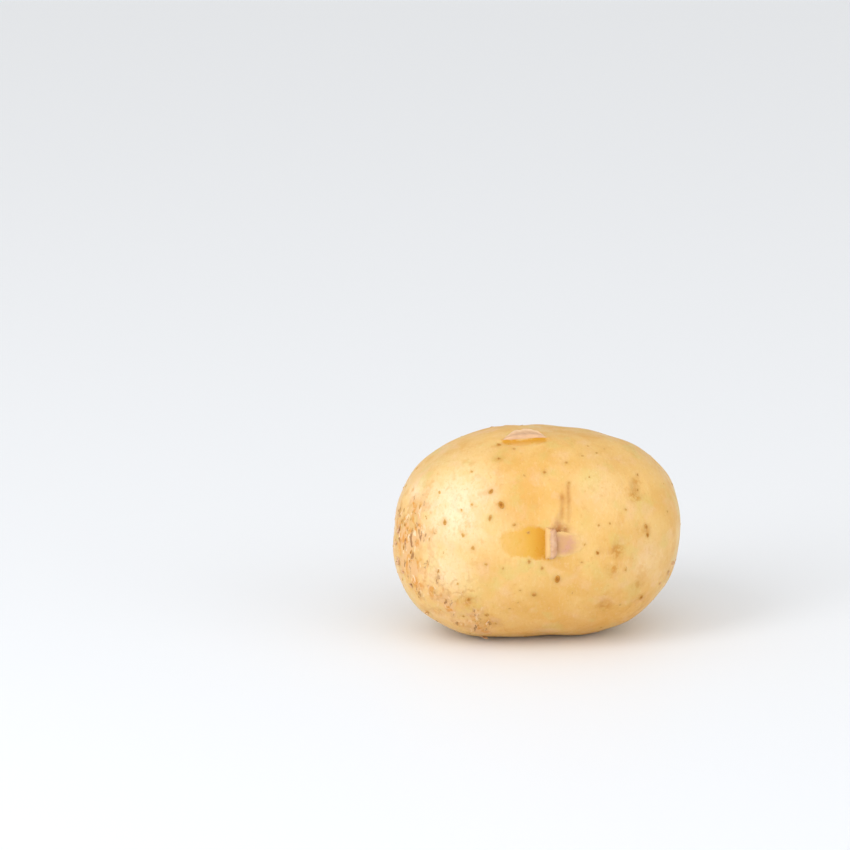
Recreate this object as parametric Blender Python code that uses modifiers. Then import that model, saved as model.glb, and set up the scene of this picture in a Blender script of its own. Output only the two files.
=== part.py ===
"""One potato: a yellow-skinned tuber lying on its side on a small flat spot.

The tuber is one solid. Its body is a ball pushed out to a full oval, then shaped by broad
swellings, shallow eyes under their brows, the scar where it hung from the plant, and places
where the thin skin has torn and folded back from the flesh.

Metres, +Z up. +X runs to the bud end, and -Y is the side that faces the viewer.
"""

import math

import bmesh
import bpy
import numpy as np

# Driving dimensions of the plain oval, before its swellings
HALF_LENGTH = 0.0397
HALF_WIDTH = 0.0300
HALF_HEIGHT = 0.0288
LENGTH_FULLNESS = 2.4  # exponent along the length: 2 gives an ellipse, and more is squarer
GIRTH_FULLNESS = 2.1  # the same round the girth

# A place on the tuber is (along, turn): metres along X from the middle, and degrees round X,
# from 0 at the front (-Y) over 90 at the top and 180 at the back to 270 underneath.

# Broad swellings and hollows: (along, turn, height, spread)
SWELLINGS = (
    (0.0370, 20, 0.0004, 0.012),
    (-0.0370, 345, -0.0004, 0.014),
    (-0.0260, 303, 0.0034, 0.015),  # full lower shoulder at the stem end
    (-0.0280, 107, -0.0014, 0.014),
    (0.0160, 107, -0.0012, 0.014),
    (0.0350, 315, -0.0005, 0.010),
    (0.0230, 290, 0.0014, 0.011),
    (0.0060, 275, 0.0006, 0.014),  # belly
    (0.0100, 170, 0.0006, 0.018),
    (-0.0200, 190, -0.0010, 0.012),  # hollow behind the stem end
    (0.0240, 215, 0.0006, 0.010),
)

# Ripples: low waves that keep the skin from looking turned on a lathe
RIPPLE_COUNT = 14
RIPPLE_HEIGHT = 0.00005
RIPPLE_LENGTHS = (0.010, 0.026)
RIPPLE_SEED = 11

# Eyes: (along, turn, depth of the pit, length of the brow)
EYES = (
    (0.0066, 18, 0.0008, 0.0090),  # above the front tear
    (0.0274, 45, 0.0005, 0.0070),
    (0.0225, 4, 0.0003, 0.0080),
    (0.0186, 327, 0.0004, 0.0070),
    (-0.0060, 114, 0.0013, 0.0100),
    (0.0170, 138, 0.0012, 0.0090),
    (-0.0185, 146, 0.0012, 0.0090),
    (-0.0020, 205, 0.0014, 0.0100),
    (0.0230, 232, 0.0012, 0.0080),
    (0.0335, 100, 0.0010, 0.0060),
    (0.0345, 190, 0.0011, 0.0060),
    (0.0365, 300, 0.0008, 0.0050),
)
PIT_WIDTH = 0.0030
PIT_TO_BROW = 0.0024
BROW_HEIGHT_SHARE = 0.55  # of the pit's depth
BROW_WIDTH = 0.0011
BROW_BEND = 60.0  # per metre, towards the bud end at the brow's ends
BUD_HEIGHT_SHARE = 0.4
BUD_WIDTH = 0.0011

# Creases: shallow grooves round the girth, (along, lowest turn, highest turn, depth)
CREASES = (
    (0.0067, 22, 35, 0.00016),
    (0.0085, 20, 42, 0.00012),
)
CREASE_WIDTH = 0.0007
CREASE_END = 5.0  # degrees over which a crease fades

# Stem scar: the dimple where the tuber hung, with the stub of its runner
SCAR_PLACE = (-0.0378, 200)
SCAR_DEPTH = 0.0013
SCAR_WIDTH = 0.0032
STUB_HEIGHT = 0.0014
STUB_WIDTH = 0.0011

# Torn skin: (name, along, turn, way it was folded back, width, bare length, flap length, lift).
# The place is the middle of the fold. The way is in degrees from +X towards a growing turn.
# The lift is that of the flap's free edge over its root.
TEARS = (
    ("front", 0.0030, 8, 0, 0.0090, 0.0138, 0.0026, 0.0012),
    ("top", -0.0037, 75, 90, 0.0126, 0.0036, 0.0042, 0.0009),
    ("back", 0.0080, 152, 200, 0.0080, 0.0090, 0.0050, 0.0014),
    ("stem", -0.0250, 168, 150, 0.0060, 0.0050, 0.0034, 0.0012),
)
BARE_ROUNDING = 4  # exponent of the bare patch's far end: more is squarer
SKIN_STEP = 0.00025  # how deep the bare flesh lies
STEP_WIDTH = 0.0006
FOLD_HEIGHT = 0.0010
FOLD_WIDTHS = (0.0007, 0.0014)  # on the bare side, which is steeper, and on the flap's side
FLAP_THICKNESS = 0.0006
FLAP_SINK = 0.0004  # how deep a flap's root lies in the fold
FLAP_CURL = 1.3  # exponent: more keeps the flap down longer and lifts it later
FLAP_TAPER = 0.2  # share of its width lost at its free edge
FLAP_RAGGEDNESS = 0.14  # share of its length
FLAP_CORNERS = 0.5  # share of its length that its corners are cut back
FLAP_ROWS = 6
FLAP_COLUMNS = 8
FLAP_SEED = 5

# Resting: the belly flattens against a level, and the flat spot is cut just above that level
SETTLE = 0.0007  # from the belly's lowest point up to the level
SOFTNESS = 0.00035  # of the bend from the belly into the flat
FLAT_ABOVE = 0.00012

# Mesh: an icosphere, with its triangles halved twice near the fine shapes
BALL_SUBDIVISIONS = 5
FOLD_SPOTS = (-0.4, 0, 0.4)  # shares of a fold's width
HALVED_WITHIN = (0.0056, 0.0028)

SKIN_COLOUR = (0.80, 0.55, 0.22, 1.0)
SKIN_ROUGHNESS = 0.5

HALVES = np.array((HALF_LENGTH, HALF_WIDTH, HALF_HEIGHT))


def plain_body(directions):
    """Points of the plain oval in the given directions from its centre."""
    share = np.abs(directions) / HALVES
    girth = share[:, 1] ** GIRTH_FULLNESS + share[:, 2] ** GIRTH_FULLNESS
    whole = share[:, 0] ** LENGTH_FULLNESS + girth ** (LENGTH_FULLNESS / GIRTH_FULLNESS)
    return directions * (whole ** (-1 / LENGTH_FULLNESS))[:, None]


def outward(points):
    """Unit normals of the plain oval at points on it."""
    share = np.abs(points) / HALVES
    girth = share[:, 1] ** GIRTH_FULLNESS + share[:, 2] ** GIRTH_FULLNESS
    power = np.array((LENGTH_FULLNESS, GIRTH_FULLNESS, GIRTH_FULLNESS)) - 1
    slope = share**power / HALVES * np.sign(points)
    slope[:, 1:] *= (girth ** (LENGTH_FULLNESS / GIRTH_FULLNESS - 1))[:, None]
    return slope / np.linalg.norm(slope, axis=1)[:, None]


def place(along, turn):
    """The point of the plain oval at a place."""
    angle = math.radians(turn)
    across, up = -math.cos(angle), math.sin(angle)
    reach = (1 - (abs(along) / HALF_LENGTH) ** LENGTH_FULLNESS) ** (1 / LENGTH_FULLNESS)
    reach /= (abs(across) ** GIRTH_FULLNESS + abs(up) ** GIRTH_FULLNESS) ** (1 / GIRTH_FULLNESS)
    return np.array((along, HALF_WIDTH * across * reach, HALF_HEIGHT * up * reach))


def axes_at(point, way=0.0):
    """(forward, sideways, normal) at a point: forward lies in the skin, way degrees from +X."""
    normal = outward(point[None])[0]
    along = np.array((1.0, 0.0, 0.0)) - normal[0] * normal
    along /= np.linalg.norm(along)
    around = np.cross(normal, along)
    angle = math.radians(way)
    forward = math.cos(angle) * along + math.sin(angle) * around
    return forward, np.cross(forward, normal), normal


def local(points, centre, way=0.0):
    """Distances of points forward and sideways from a centre, and whether they face its way."""
    forward, sideways, normal = axes_at(centre, way)
    offset = points - centre
    return offset @ forward, offset @ sideways, outward(points) @ normal > 0.2


def bell(distance, width):
    return np.exp(-((distance / width) ** 2))


def smooth_step(value, width):
    """0 below -width / 2, 1 above width / 2, and smooth between."""
    t = np.clip(value / width + 0.5, 0, 1)
    return t * t * (3 - 2 * t)


def swelling_height(points):
    height = np.zeros(len(points))
    for along, turn, rise, spread in SWELLINGS:
        gap = np.linalg.norm(points - place(along, turn), axis=1)
        height += rise * np.exp(-(gap**2) / (2 * spread**2))
    return height


def ripple_height(points):
    draw = np.random.default_rng(RIPPLE_SEED)
    height = np.zeros(len(points))
    for _ in range(RIPPLE_COUNT):
        way = draw.normal(size=3)
        way /= np.linalg.norm(way)
        phase = draw.uniform(0, 2 * math.pi)
        pitch = 2 * math.pi / draw.uniform(*RIPPLE_LENGTHS)
        height += RIPPLE_HEIGHT * np.sin(pitch * (points @ way) + phase)
    return height


def eye_height(points):
    """Each eye is a shallow pit with a bud in it, under a brow that arches on its stem side."""
    height = np.zeros(len(points))
    for along, turn, depth, brow_length in EYES:
        forward, sideways, near = local(points, place(along, turn))
        pit = bell(forward, PIT_WIDTH) * bell(sideways, brow_length / 2.6)
        brow = bell(forward + PIT_TO_BROW - BROW_BEND * sideways**2, BROW_WIDTH)
        brow *= bell(sideways, brow_length / 2)
        bud = bell(np.hypot(forward, sideways), BUD_WIDTH)
        shape = BROW_HEIGHT_SHARE * brow + BUD_HEIGHT_SHARE * bud - pit
        height += np.where(near, depth * shape, 0)
    return height


def crease_height(points):
    turn = np.degrees(np.arctan2(points[:, 2] / HALF_HEIGHT, -points[:, 1] / HALF_WIDTH)) % 360
    height = np.zeros(len(points))
    for along, lowest, highest, depth in CREASES:
        inside = np.minimum(turn - lowest, highest - turn)
        height -= depth * bell(points[:, 0] - along, CREASE_WIDTH) * smooth_step(inside, CREASE_END)
    return height


def scar_height(points):
    gap = np.linalg.norm(points - place(*SCAR_PLACE), axis=1)
    return STUB_HEIGHT * bell(gap, STUB_WIDTH) - SCAR_DEPTH * bell(gap, SCAR_WIDTH)


def tear_height(points):
    """The skin's thickness is missing over the bare flesh, and doubled up along the fold."""
    height = np.zeros(len(points))
    for _, along, turn, way, width, bare_length, _, _ in TEARS:
        forward, sideways, near = local(points, place(along, turn), way)
        back = np.clip(-forward / bare_length, 0, 1)
        inside_length = np.minimum(forward + bare_length, FOLD_WIDTHS[1] - forward)
        inside_width = width / 2 * np.sqrt(1 - back**BARE_ROUNDING) - np.abs(sideways)
        bare = smooth_step(np.minimum(inside_length, inside_width), STEP_WIDTH)
        fold = bell(forward, np.where(forward < 0, *FOLD_WIDTHS))
        fold *= smooth_step(inside_width, 3 * STEP_WIDTH)
        height += np.where(near, FOLD_HEIGHT * fold - SKIN_STEP * bare, 0)
    return height


def skin_point(points, lift=0.0):
    """The tuber's surface over points of the plain oval, raised by lift."""
    height = swelling_height(points) + ripple_height(points) + eye_height(points)
    height += crease_height(points) + scar_height(points) + tear_height(points)
    return points + outward(points) * (height + lift)[:, None]


def feature_places():
    spots = [place(along, turn) for along, turn, _, _ in EYES] + [place(*SCAR_PLACE)]
    for _, along, turn, way, width, _, _, _ in TEARS:
        centre = place(along, turn)
        _, sideways, _ = axes_at(centre, way)
        spots += [centre + share * width * sideways for share in FOLD_SPOTS]
    return np.array(spots)


def refine_near(mesh, reach):
    """Halves the triangles whose middles lie within reach of an eye, a tear or the scar."""
    middles = np.array([face.calc_center_median() for face in mesh.faces])
    on_body = plain_body(middles / np.linalg.norm(middles, axis=1)[:, None])
    gaps = np.linalg.norm(on_body[:, None] - feature_places()[None], axis=2).min(axis=1)
    mesh.faces.ensure_lookup_table()
    edges = {edge for i in np.flatnonzero(gaps < reach) for edge in mesh.faces[i].edges}
    bmesh.ops.subdivide_edges(mesh, edges=list(edges), cuts=1, use_grid_fill=True)
    bmesh.ops.triangulate(mesh, faces=mesh.faces)


def ball():
    """A ball of radius 1, with finer triangles where the fine shapes will be."""
    mesh = bmesh.new()
    bmesh.ops.create_icosphere(mesh, subdivisions=BALL_SUBDIVISIONS, radius=1.0)
    for reach in HALVED_WITHIN:
        refine_near(mesh, reach)
    for vertex in mesh.verts:
        vertex.co.normalize()
    return mesh


def new_object(name, mesh, collection):
    data = bpy.data.meshes.new(name)
    mesh.to_mesh(data)
    mesh.free()
    made = bpy.data.objects.new(name, data)
    collection.objects.link(made)
    return made


def tuber_body(collection):
    mesh = ball()
    directions = np.array([vertex.co for vertex in mesh.verts])
    for vertex, point in zip(mesh.verts, skin_point(plain_body(directions))):
        vertex.co = point
    return new_object("potato", mesh, collection)


def torn_flap(tear, draw, collection):
    """A strip of skin that leaves the fold and lifts towards its ragged free edge."""
    name, along, turn, way, width, _, length, lift = tear
    centre = place(along, turn)
    forward, sideways, _ = axes_at(centre, way)
    spread = np.linspace(-1, 1, FLAP_COLUMNS + 1)
    missing = FLAP_RAGGEDNESS * draw.uniform(0, 1, len(spread)) + FLAP_CORNERS * np.abs(spread) ** 3
    reach = length * (1 - missing)
    mesh = bmesh.new()
    rows = []
    for share in np.linspace(0, 1, FLAP_ROWS + 1):
        ahead = share * reach[:, None] * forward
        across = (spread * width / 2 * (1 - FLAP_TAPER * share))[:, None] * sideways
        flat = centre + ahead + across
        directions = flat / np.linalg.norm(flat, axis=1)[:, None]
        row = skin_point(plain_body(directions), lift * share**FLAP_CURL - FLAP_SINK)
        rows.append([mesh.verts.new(point) for point in row])
    for low, high in zip(rows, rows[1:]):
        for i in range(FLAP_COLUMNS):
            mesh.faces.new((low[i], low[i + 1], high[i + 1], high[i]))
    bmesh.ops.recalc_face_normals(mesh, faces=mesh.faces)
    flap = new_object(f"flap_{name}", mesh, collection)
    flap.hide_render = True
    flap.display_type = "WIRE"
    wall = flap.modifiers.new("thickness", "SOLIDIFY")
    wall.thickness = FLAP_THICKNESS
    wall.offset = 0.0


def join(body, pieces):
    """Makes the body and everything in the collection one solid."""
    union = body.modifiers.new("join", "BOOLEAN")
    union.operation = "UNION"
    union.operand_type = "COLLECTION"
    union.collection = pieces
    union.solver = "EXACT"
    bpy.context.view_layer.update()
    graph = bpy.context.evaluated_depsgraph_get()
    joined = bpy.data.meshes.new_from_object(body.evaluated_get(graph))
    body.modifiers.clear()
    body.data = joined
    for piece in list(pieces.objects):
        bpy.data.objects.remove(piece)
    bpy.data.collections.remove(pieces)


def settle(body):
    """Flattens the belly, cuts the flat spot, and sets the origin under the middle."""
    mesh = bmesh.new()
    mesh.from_mesh(body.data)
    heights = np.array([vertex.co.z for vertex in mesh.verts])
    floor = heights.min() + SETTLE
    pressed = floor + SOFTNESS * np.logaddexp(0, (heights - floor) / SOFTNESS)
    for vertex, height in zip(mesh.verts, pressed):
        vertex.co.z = height
    level = floor + FLAT_ABOVE
    everything = mesh.verts[:] + mesh.edges[:] + mesh.faces[:]
    cut = bmesh.ops.bisect_plane(
        mesh, geom=everything, plane_co=(0, 0, level), plane_no=(0, 0, 1), clear_inner=True
    )
    rim = [item for item in cut["geom_cut"] if isinstance(item, bmesh.types.BMEdge)]
    bmesh.ops.edgeloop_fill(mesh, edges=rim)
    corners = np.array([vertex.co for vertex in mesh.verts])
    middle = (corners.min(axis=0) + corners.max(axis=0)) / 2
    for vertex in mesh.verts:
        vertex.co.x -= middle[0]
        vertex.co.y -= middle[1]
        vertex.co.z = max(vertex.co.z - level, 0.0)
    bmesh.ops.triangulate(mesh, faces=mesh.faces)
    mesh.to_mesh(body.data)
    mesh.free()
    print(f"the oval's middle lies at {-middle[0]:.6f}, {-middle[1]:.6f}, {-level:.6f}")


def skin_material():
    material = bpy.data.materials.new("potato_skin")
    material.use_nodes = True
    shader = material.node_tree.nodes["Principled BSDF"]
    shader.inputs["Base Color"].default_value = SKIN_COLOUR
    shader.inputs["Roughness"].default_value = SKIN_ROUGHNESS
    shader.inputs["Metallic"].default_value = 0.0
    return material


def main():
    for old in list(bpy.data.objects):
        bpy.data.objects.remove(old)
    collection = bpy.data.collections.new("potato")
    pieces = bpy.data.collections.new("torn_skin")
    bpy.context.scene.collection.children.link(collection)
    bpy.context.scene.collection.children.link(pieces)
    body = tuber_body(collection)
    draw = np.random.default_rng(FLAP_SEED)
    for tear in TEARS:
        torn_flap(tear, draw, pieces)
    join(body, pieces)
    settle(body)
    body.data.materials.clear()
    body.data.materials.append(skin_material())
    body.data.shade_smooth()


main()
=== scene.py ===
# %% [markdown]
# # A potato, dressed
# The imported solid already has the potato's size, swellings, eyes and torn places. This script
# gives it the surface of a real one: thin corky skin over yellow flesh, specks, russeting,
# scuffs and curls of torn skin. It works in metres, in the solid's own frame: +X runs to the
# bud end, -Y faces the viewer and the potato rests on Z = 0.

import math

import bmesh
import bpy
import numpy as np
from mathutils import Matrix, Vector
from mathutils.bvhtree import BVHTree
from mathutils.kdtree import KDTree


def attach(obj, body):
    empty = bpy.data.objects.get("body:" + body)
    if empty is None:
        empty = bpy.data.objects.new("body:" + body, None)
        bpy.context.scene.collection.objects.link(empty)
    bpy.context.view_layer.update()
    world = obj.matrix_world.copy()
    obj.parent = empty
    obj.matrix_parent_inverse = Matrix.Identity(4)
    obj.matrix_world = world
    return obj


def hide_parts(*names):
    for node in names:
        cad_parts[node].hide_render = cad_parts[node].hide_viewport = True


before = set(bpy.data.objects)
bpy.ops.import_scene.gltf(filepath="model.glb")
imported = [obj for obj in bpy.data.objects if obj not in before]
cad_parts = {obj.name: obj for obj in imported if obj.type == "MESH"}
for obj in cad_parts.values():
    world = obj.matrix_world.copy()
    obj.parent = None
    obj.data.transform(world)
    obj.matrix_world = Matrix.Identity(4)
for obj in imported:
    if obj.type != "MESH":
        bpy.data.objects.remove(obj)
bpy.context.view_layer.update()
MM = 0.001

# %% [markdown]
# ## The tuber's shape
# A tuber is a swollen stem, so it is an oval with soft bulges and not a ball. It could be
# sculpted, but the solid is made by a formula, and the same formula on a finer mesh gives a
# skin that lies on the solid exactly. The named sizes below are the solid's own.
# A place is (along, turn): metres along X from the oval's middle, and degrees round X, from 0
# at the front over 90 at the top and 180 at the back to 270 underneath.

# %% The solid's named sizes
OVAL_MIDDLE = np.array((0.000057, 0.000431, 0.029280))
HALVES = np.array((0.0397, 0.0300, 0.0288))
LENGTH_FULLNESS, GIRTH_FULLNESS = 2.4, 2.1
SWELLINGS = (
    (0.0370, 20, 0.0004, 0.012),
    (-0.0370, 345, -0.0004, 0.014),
    (-0.0260, 303, 0.0034, 0.015),
    (-0.0280, 107, -0.0014, 0.014),
    (0.0160, 107, -0.0012, 0.014),
    (0.0350, 315, -0.0005, 0.010),
    (0.0230, 290, 0.0014, 0.011),
    (0.0060, 275, 0.0006, 0.014),
    (0.0100, 170, 0.0006, 0.018),
    (-0.0200, 190, -0.0010, 0.012),
    (0.0240, 215, 0.0006, 0.010),
)
RIPPLE_COUNT, RIPPLE_HEIGHT = 14, 0.00005
RIPPLE_LENGTHS, RIPPLE_SEED = (0.010, 0.026), 11
EYES = (
    (0.0066, 18, 0.0008, 0.0090),
    (0.0274, 45, 0.0005, 0.0070),
    (0.0225, 4, 0.0003, 0.0080),
    (0.0186, 327, 0.0004, 0.0070),
    (-0.0060, 114, 0.0013, 0.0100),
    (0.0170, 138, 0.0012, 0.0090),
    (-0.0185, 146, 0.0012, 0.0090),
    (-0.0020, 205, 0.0014, 0.0100),
    (0.0230, 232, 0.0012, 0.0080),
    (0.0335, 100, 0.0010, 0.0060),
    (0.0345, 190, 0.0011, 0.0060),
    (0.0365, 300, 0.0008, 0.0050),
)
PIT_WIDTH, PIT_TO_BROW = 0.0030, 0.0024
BROW_HEIGHT_SHARE, BROW_WIDTH, BROW_BEND = 0.55, 0.0011, 60.0
BUD_HEIGHT_SHARE, BUD_WIDTH = 0.4, 0.0011
CREASES = ((0.0067, 22, 35, 0.00016), (0.0085, 20, 42, 0.00012))
CREASE_WIDTH, CREASE_END = 0.0007, 5.0
SCAR_PLACE, SCAR_DEPTH, SCAR_WIDTH = (-0.0378, 200), 0.0013, 0.0032
STUB_HEIGHT, STUB_WIDTH = 0.0014, 0.0011
# Torn skin: name, along, turn, way folded back, width, bare length, flap length, lift
TEARS = (
    ("front", 0.0030, 8, 0, 0.0090, 0.0138, 0.0026, 0.0012),
    ("top", -0.0037, 75, 90, 0.0126, 0.0036, 0.0042, 0.0009),
    ("back", 0.0080, 152, 200, 0.0080, 0.0090, 0.0050, 0.0014),
    ("stem", -0.0250, 168, 150, 0.0060, 0.0050, 0.0034, 0.0012),
)
BARE_ROUNDING = 4
SKIN_STEP, STEP_WIDTH = 0.00012, 0.0010  # half the solid's step: its mesh is coarser
FOLD_HEIGHT, FOLD_WIDTHS = 0.0006, (0.0007, 0.0014)  # lower than the solid's, under the curls
SOFTNESS, FLAT_ABOVE = 0.00035, 0.00012  # the belly bends softly to a floor that far below Z = 0


# %% The oval, and distances on it
def plain_body(directions):
    """Points of the plain oval in the given directions from its middle."""
    share = np.abs(directions) / HALVES
    girth = share[:, 1] ** GIRTH_FULLNESS + share[:, 2] ** GIRTH_FULLNESS
    whole = share[:, 0] ** LENGTH_FULLNESS + girth ** (LENGTH_FULLNESS / GIRTH_FULLNESS)
    return directions * (whole ** (-1 / LENGTH_FULLNESS))[:, None]


def on_oval(points):
    """Points near the oval, moved onto it."""
    return plain_body(points / np.linalg.norm(points, axis=1)[:, None])


def outward(points):
    """Unit normals of the plain oval."""
    share = np.abs(points) / HALVES
    girth = share[:, 1] ** GIRTH_FULLNESS + share[:, 2] ** GIRTH_FULLNESS
    power = np.array((LENGTH_FULLNESS, GIRTH_FULLNESS, GIRTH_FULLNESS)) - 1
    slope = share**power / HALVES * np.sign(points)
    slope[:, 1:] *= (girth ** (LENGTH_FULLNESS / GIRTH_FULLNESS - 1))[:, None]
    return slope / np.linalg.norm(slope, axis=1)[:, None]


def place(along, turn):
    """The point of the plain oval at a place."""
    angle = math.radians(turn)
    across, up = -math.cos(angle), math.sin(angle)
    reach = (1 - (abs(along) / HALVES[0]) ** LENGTH_FULLNESS) ** (1 / LENGTH_FULLNESS)
    reach /= (abs(across) ** GIRTH_FULLNESS + abs(up) ** GIRTH_FULLNESS) ** (1 / GIRTH_FULLNESS)
    return np.array((along, HALVES[1] * across * reach, HALVES[2] * up * reach))


def axes_at(point, way=0.0):
    """(forward, sideways, normal) at a point: forward lies in the skin, way degrees from +X."""
    normal = outward(point[None])[0]
    along = np.array((1.0, 0.0, 0.0)) - normal[0] * normal
    along /= np.linalg.norm(along)
    around = np.cross(normal, along)
    angle = math.radians(way)
    forward = math.cos(angle) * along + math.sin(angle) * around
    return forward, np.cross(forward, normal), normal


def local(points, centre, way=0.0):
    """Distances of points forward and sideways from a centre, and whether they face its way."""
    forward, sideways, normal = axes_at(centre, way)
    offset = points - centre
    return offset @ forward, offset @ sideways, outward(points) @ normal > 0.2


def bell(distance, width):
    return np.exp(-((distance / width) ** 2))


def smooth_step(value, width):
    """0 below -width / 2, 1 above width / 2, and smooth between."""
    t = np.clip(value / width + 0.5, 0, 1)
    return t * t * (3 - 2 * t)


# %% Heights above the oval
def swelling_height(points):
    height = np.zeros(len(points))
    for along, turn, rise, spread in SWELLINGS:
        gap = np.linalg.norm(points - place(along, turn), axis=1)
        height += rise * np.exp(-(gap**2) / (2 * spread**2))
    return height


def ripple_height(points):
    draw = np.random.default_rng(RIPPLE_SEED)
    height = np.zeros(len(points))
    for _ in range(RIPPLE_COUNT):
        way = draw.normal(size=3)
        way /= np.linalg.norm(way)
        phase = draw.uniform(0, 2 * math.pi)
        pitch = 2 * math.pi / draw.uniform(*RIPPLE_LENGTHS)
        height += RIPPLE_HEIGHT * np.sin(pitch * (points @ way) + phase)
    return height


def eye_height(points):
    """Each eye is a shallow pit with a bud in it, under a brow that arches on its stem side."""
    height = np.zeros(len(points))
    for along, turn, depth, brow_length in EYES:
        forward, sideways, near = local(points, place(along, turn))
        pit = bell(forward, PIT_WIDTH) * bell(sideways, brow_length / 2.6)
        brow = bell(forward + PIT_TO_BROW - BROW_BEND * sideways**2, BROW_WIDTH)
        brow *= bell(sideways, brow_length / 2)
        bud = bell(np.hypot(forward, sideways), BUD_WIDTH)
        shape = BROW_HEIGHT_SHARE * brow + BUD_HEIGHT_SHARE * bud - pit
        height += np.where(near, depth * shape, 0)
    return height


def turn_of(points):
    return np.degrees(np.arctan2(points[:, 2] / HALVES[2], -points[:, 1] / HALVES[1])) % 360


def crease_height(points):
    height = np.zeros(len(points))
    for along, lowest, highest, depth in CREASES:
        inside = np.minimum(turn_of(points) - lowest, highest - turn_of(points))
        height -= depth * bell(points[:, 0] - along, CREASE_WIDTH) * smooth_step(inside, CREASE_END)
    return height


def scar_height(points):
    gap = np.linalg.norm(points - place(*SCAR_PLACE), axis=1)
    return STUB_HEIGHT * bell(gap, STUB_WIDTH) - SCAR_DEPTH * bell(gap, SCAR_WIDTH)


def inside_tear(points, tear):
    """(forward, how far inside the bare patch, how far inside its width) for each point."""
    _, along, turn, way, width, bare_length, _, _ = tear
    forward, sideways, near = local(points, place(along, turn), way)
    back = np.clip(-forward / bare_length, 0, 1)
    inside_length = np.minimum(forward + bare_length, FOLD_WIDTHS[1] - forward)
    inside_width = width / 2 * np.sqrt(1 - back**BARE_ROUNDING) - np.abs(sideways)
    inside = np.where(near, np.minimum(inside_length, inside_width), -1.0)
    return forward, inside, np.where(near, inside_width, -1.0)


def tear_height(points):
    """The skin's thickness is missing over the bare flesh, and doubled up along the fold."""
    height = np.zeros(len(points))
    for tear in TEARS:
        forward, inside, inside_width = inside_tear(points, tear)
        fold = bell(forward, np.where(forward < 0, *FOLD_WIDTHS))
        fold *= smooth_step(inside_width, 3 * STEP_WIDTH)
        height += FOLD_HEIGHT * fold - SKIN_STEP * smooth_step(inside, STEP_WIDTH)
    return height


def raised(points, lift=0.0, torn=True):
    """The tuber's surface over points of the plain oval, before it settles."""
    height = swelling_height(points) + ripple_height(points) + eye_height(points)
    height += crease_height(points) + scar_height(points)
    if torn:
        height += tear_height(points)
    return points + outward(points) * (height + lift)[:, None]


def settled(points):
    """Raised points in the solid's frame, with the belly pressed to the flat spot at Z = 0."""
    level = -OVAL_MIDDLE[2]
    floor = level - FLAT_ABOVE
    pressed = floor + SOFTNESS * np.logaddexp(0, (points[:, 2] - floor) / SOFTNESS)
    moved = np.column_stack((points[:, :2], np.maximum(pressed, level)))
    return moved + OVAL_MIDDLE


# %% [markdown]
# ## The skin mesh
# An icosphere has even triangles and no poles, so a round thing shows no pinching anywhere.
# Seven levels put a point every 0.6 mm. Triangles are halved once round the eyes and torn
# places, and once more along folds and creases, where the shape turns within a millimetre.

# %% Build the skin
SKIN_LEVELS = 7
HALVED_WITHIN = (0.0058, 0.0032)


def eye_and_tear_places():
    spots = [place(along, turn) for along, turn, _, _ in EYES] + [place(*SCAR_PLACE)]
    for _, along, turn, way, width, bare_length, length, _ in TEARS:
        forward, sideways, _ = axes_at(place(along, turn), way)
        for ahead in np.linspace(-bare_length, length, 5):
            spots += [place(along, turn) + ahead * forward + side * width / 2 * sideways for side in (-1, 1)]
    return on_oval(np.array(spots))


def fold_and_crease_places():
    spots = [place(along, turn) for along, low, high, _ in CREASES for turn in np.linspace(low, high, 8)]
    for _, along, turn, way, width, _, _, _ in TEARS:
        _, sideways, _ = axes_at(place(along, turn), way)
        spots += [place(along, turn) + across * width * sideways for across in np.linspace(-0.5, 0.5, 5)]
    return on_oval(np.array(spots))


def finish_mesh(name, data):
    made = bpy.data.objects.new(name, data)
    bpy.context.scene.collection.objects.link(made)
    data.shade_smooth()
    return made


def skin_object():
    """The skin, and for each of its points the oval point that it was raised from."""
    mesh = bmesh.new()
    bmesh.ops.create_icosphere(mesh, subdivisions=SKIN_LEVELS, radius=1.0)
    for spots, reach in zip((eye_and_tear_places(), fold_and_crease_places()), HALVED_WITHIN):
        middles = on_oval(np.array([face.calc_center_median() for face in mesh.faces]))
        gaps = np.linalg.norm(middles[:, None] - spots[None], axis=2).min(axis=1)
        mesh.faces.ensure_lookup_table()
        edges = {edge for i in np.flatnonzero(gaps < reach) for edge in mesh.faces[i].edges}
        bmesh.ops.subdivide_edges(mesh, edges=list(edges), cuts=1, use_grid_fill=True)
        bmesh.ops.triangulate(mesh, faces=mesh.faces)
    oval = on_oval(np.array([vertex.co for vertex in mesh.verts]))
    for vertex, point in zip(mesh.verts, settled(raised(oval))):
        vertex.co = point
    data = bpy.data.meshes.new("potato_skin")
    mesh.to_mesh(data)
    mesh.free()
    return finish_mesh("potato_skin", data), oval


skin, skin_oval = skin_object()
skin_tree = BVHTree.FromObject(skin, bpy.context.evaluated_depsgraph_get())
print("skin triangles:", len(skin.data.polygons))


def gaps_to_solid():
    """How far from the skin half, 95% and all of the solid's corners lie, at most."""
    gaps = [skin_tree.find_nearest(vertex.co)[3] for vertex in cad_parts["potato"].data.vertices]
    return np.percentile(gaps, [50, 95, 100])


print("solid to skin, mm (half, 95%, most):", np.round(gaps_to_solid() / MM, 3))
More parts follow.
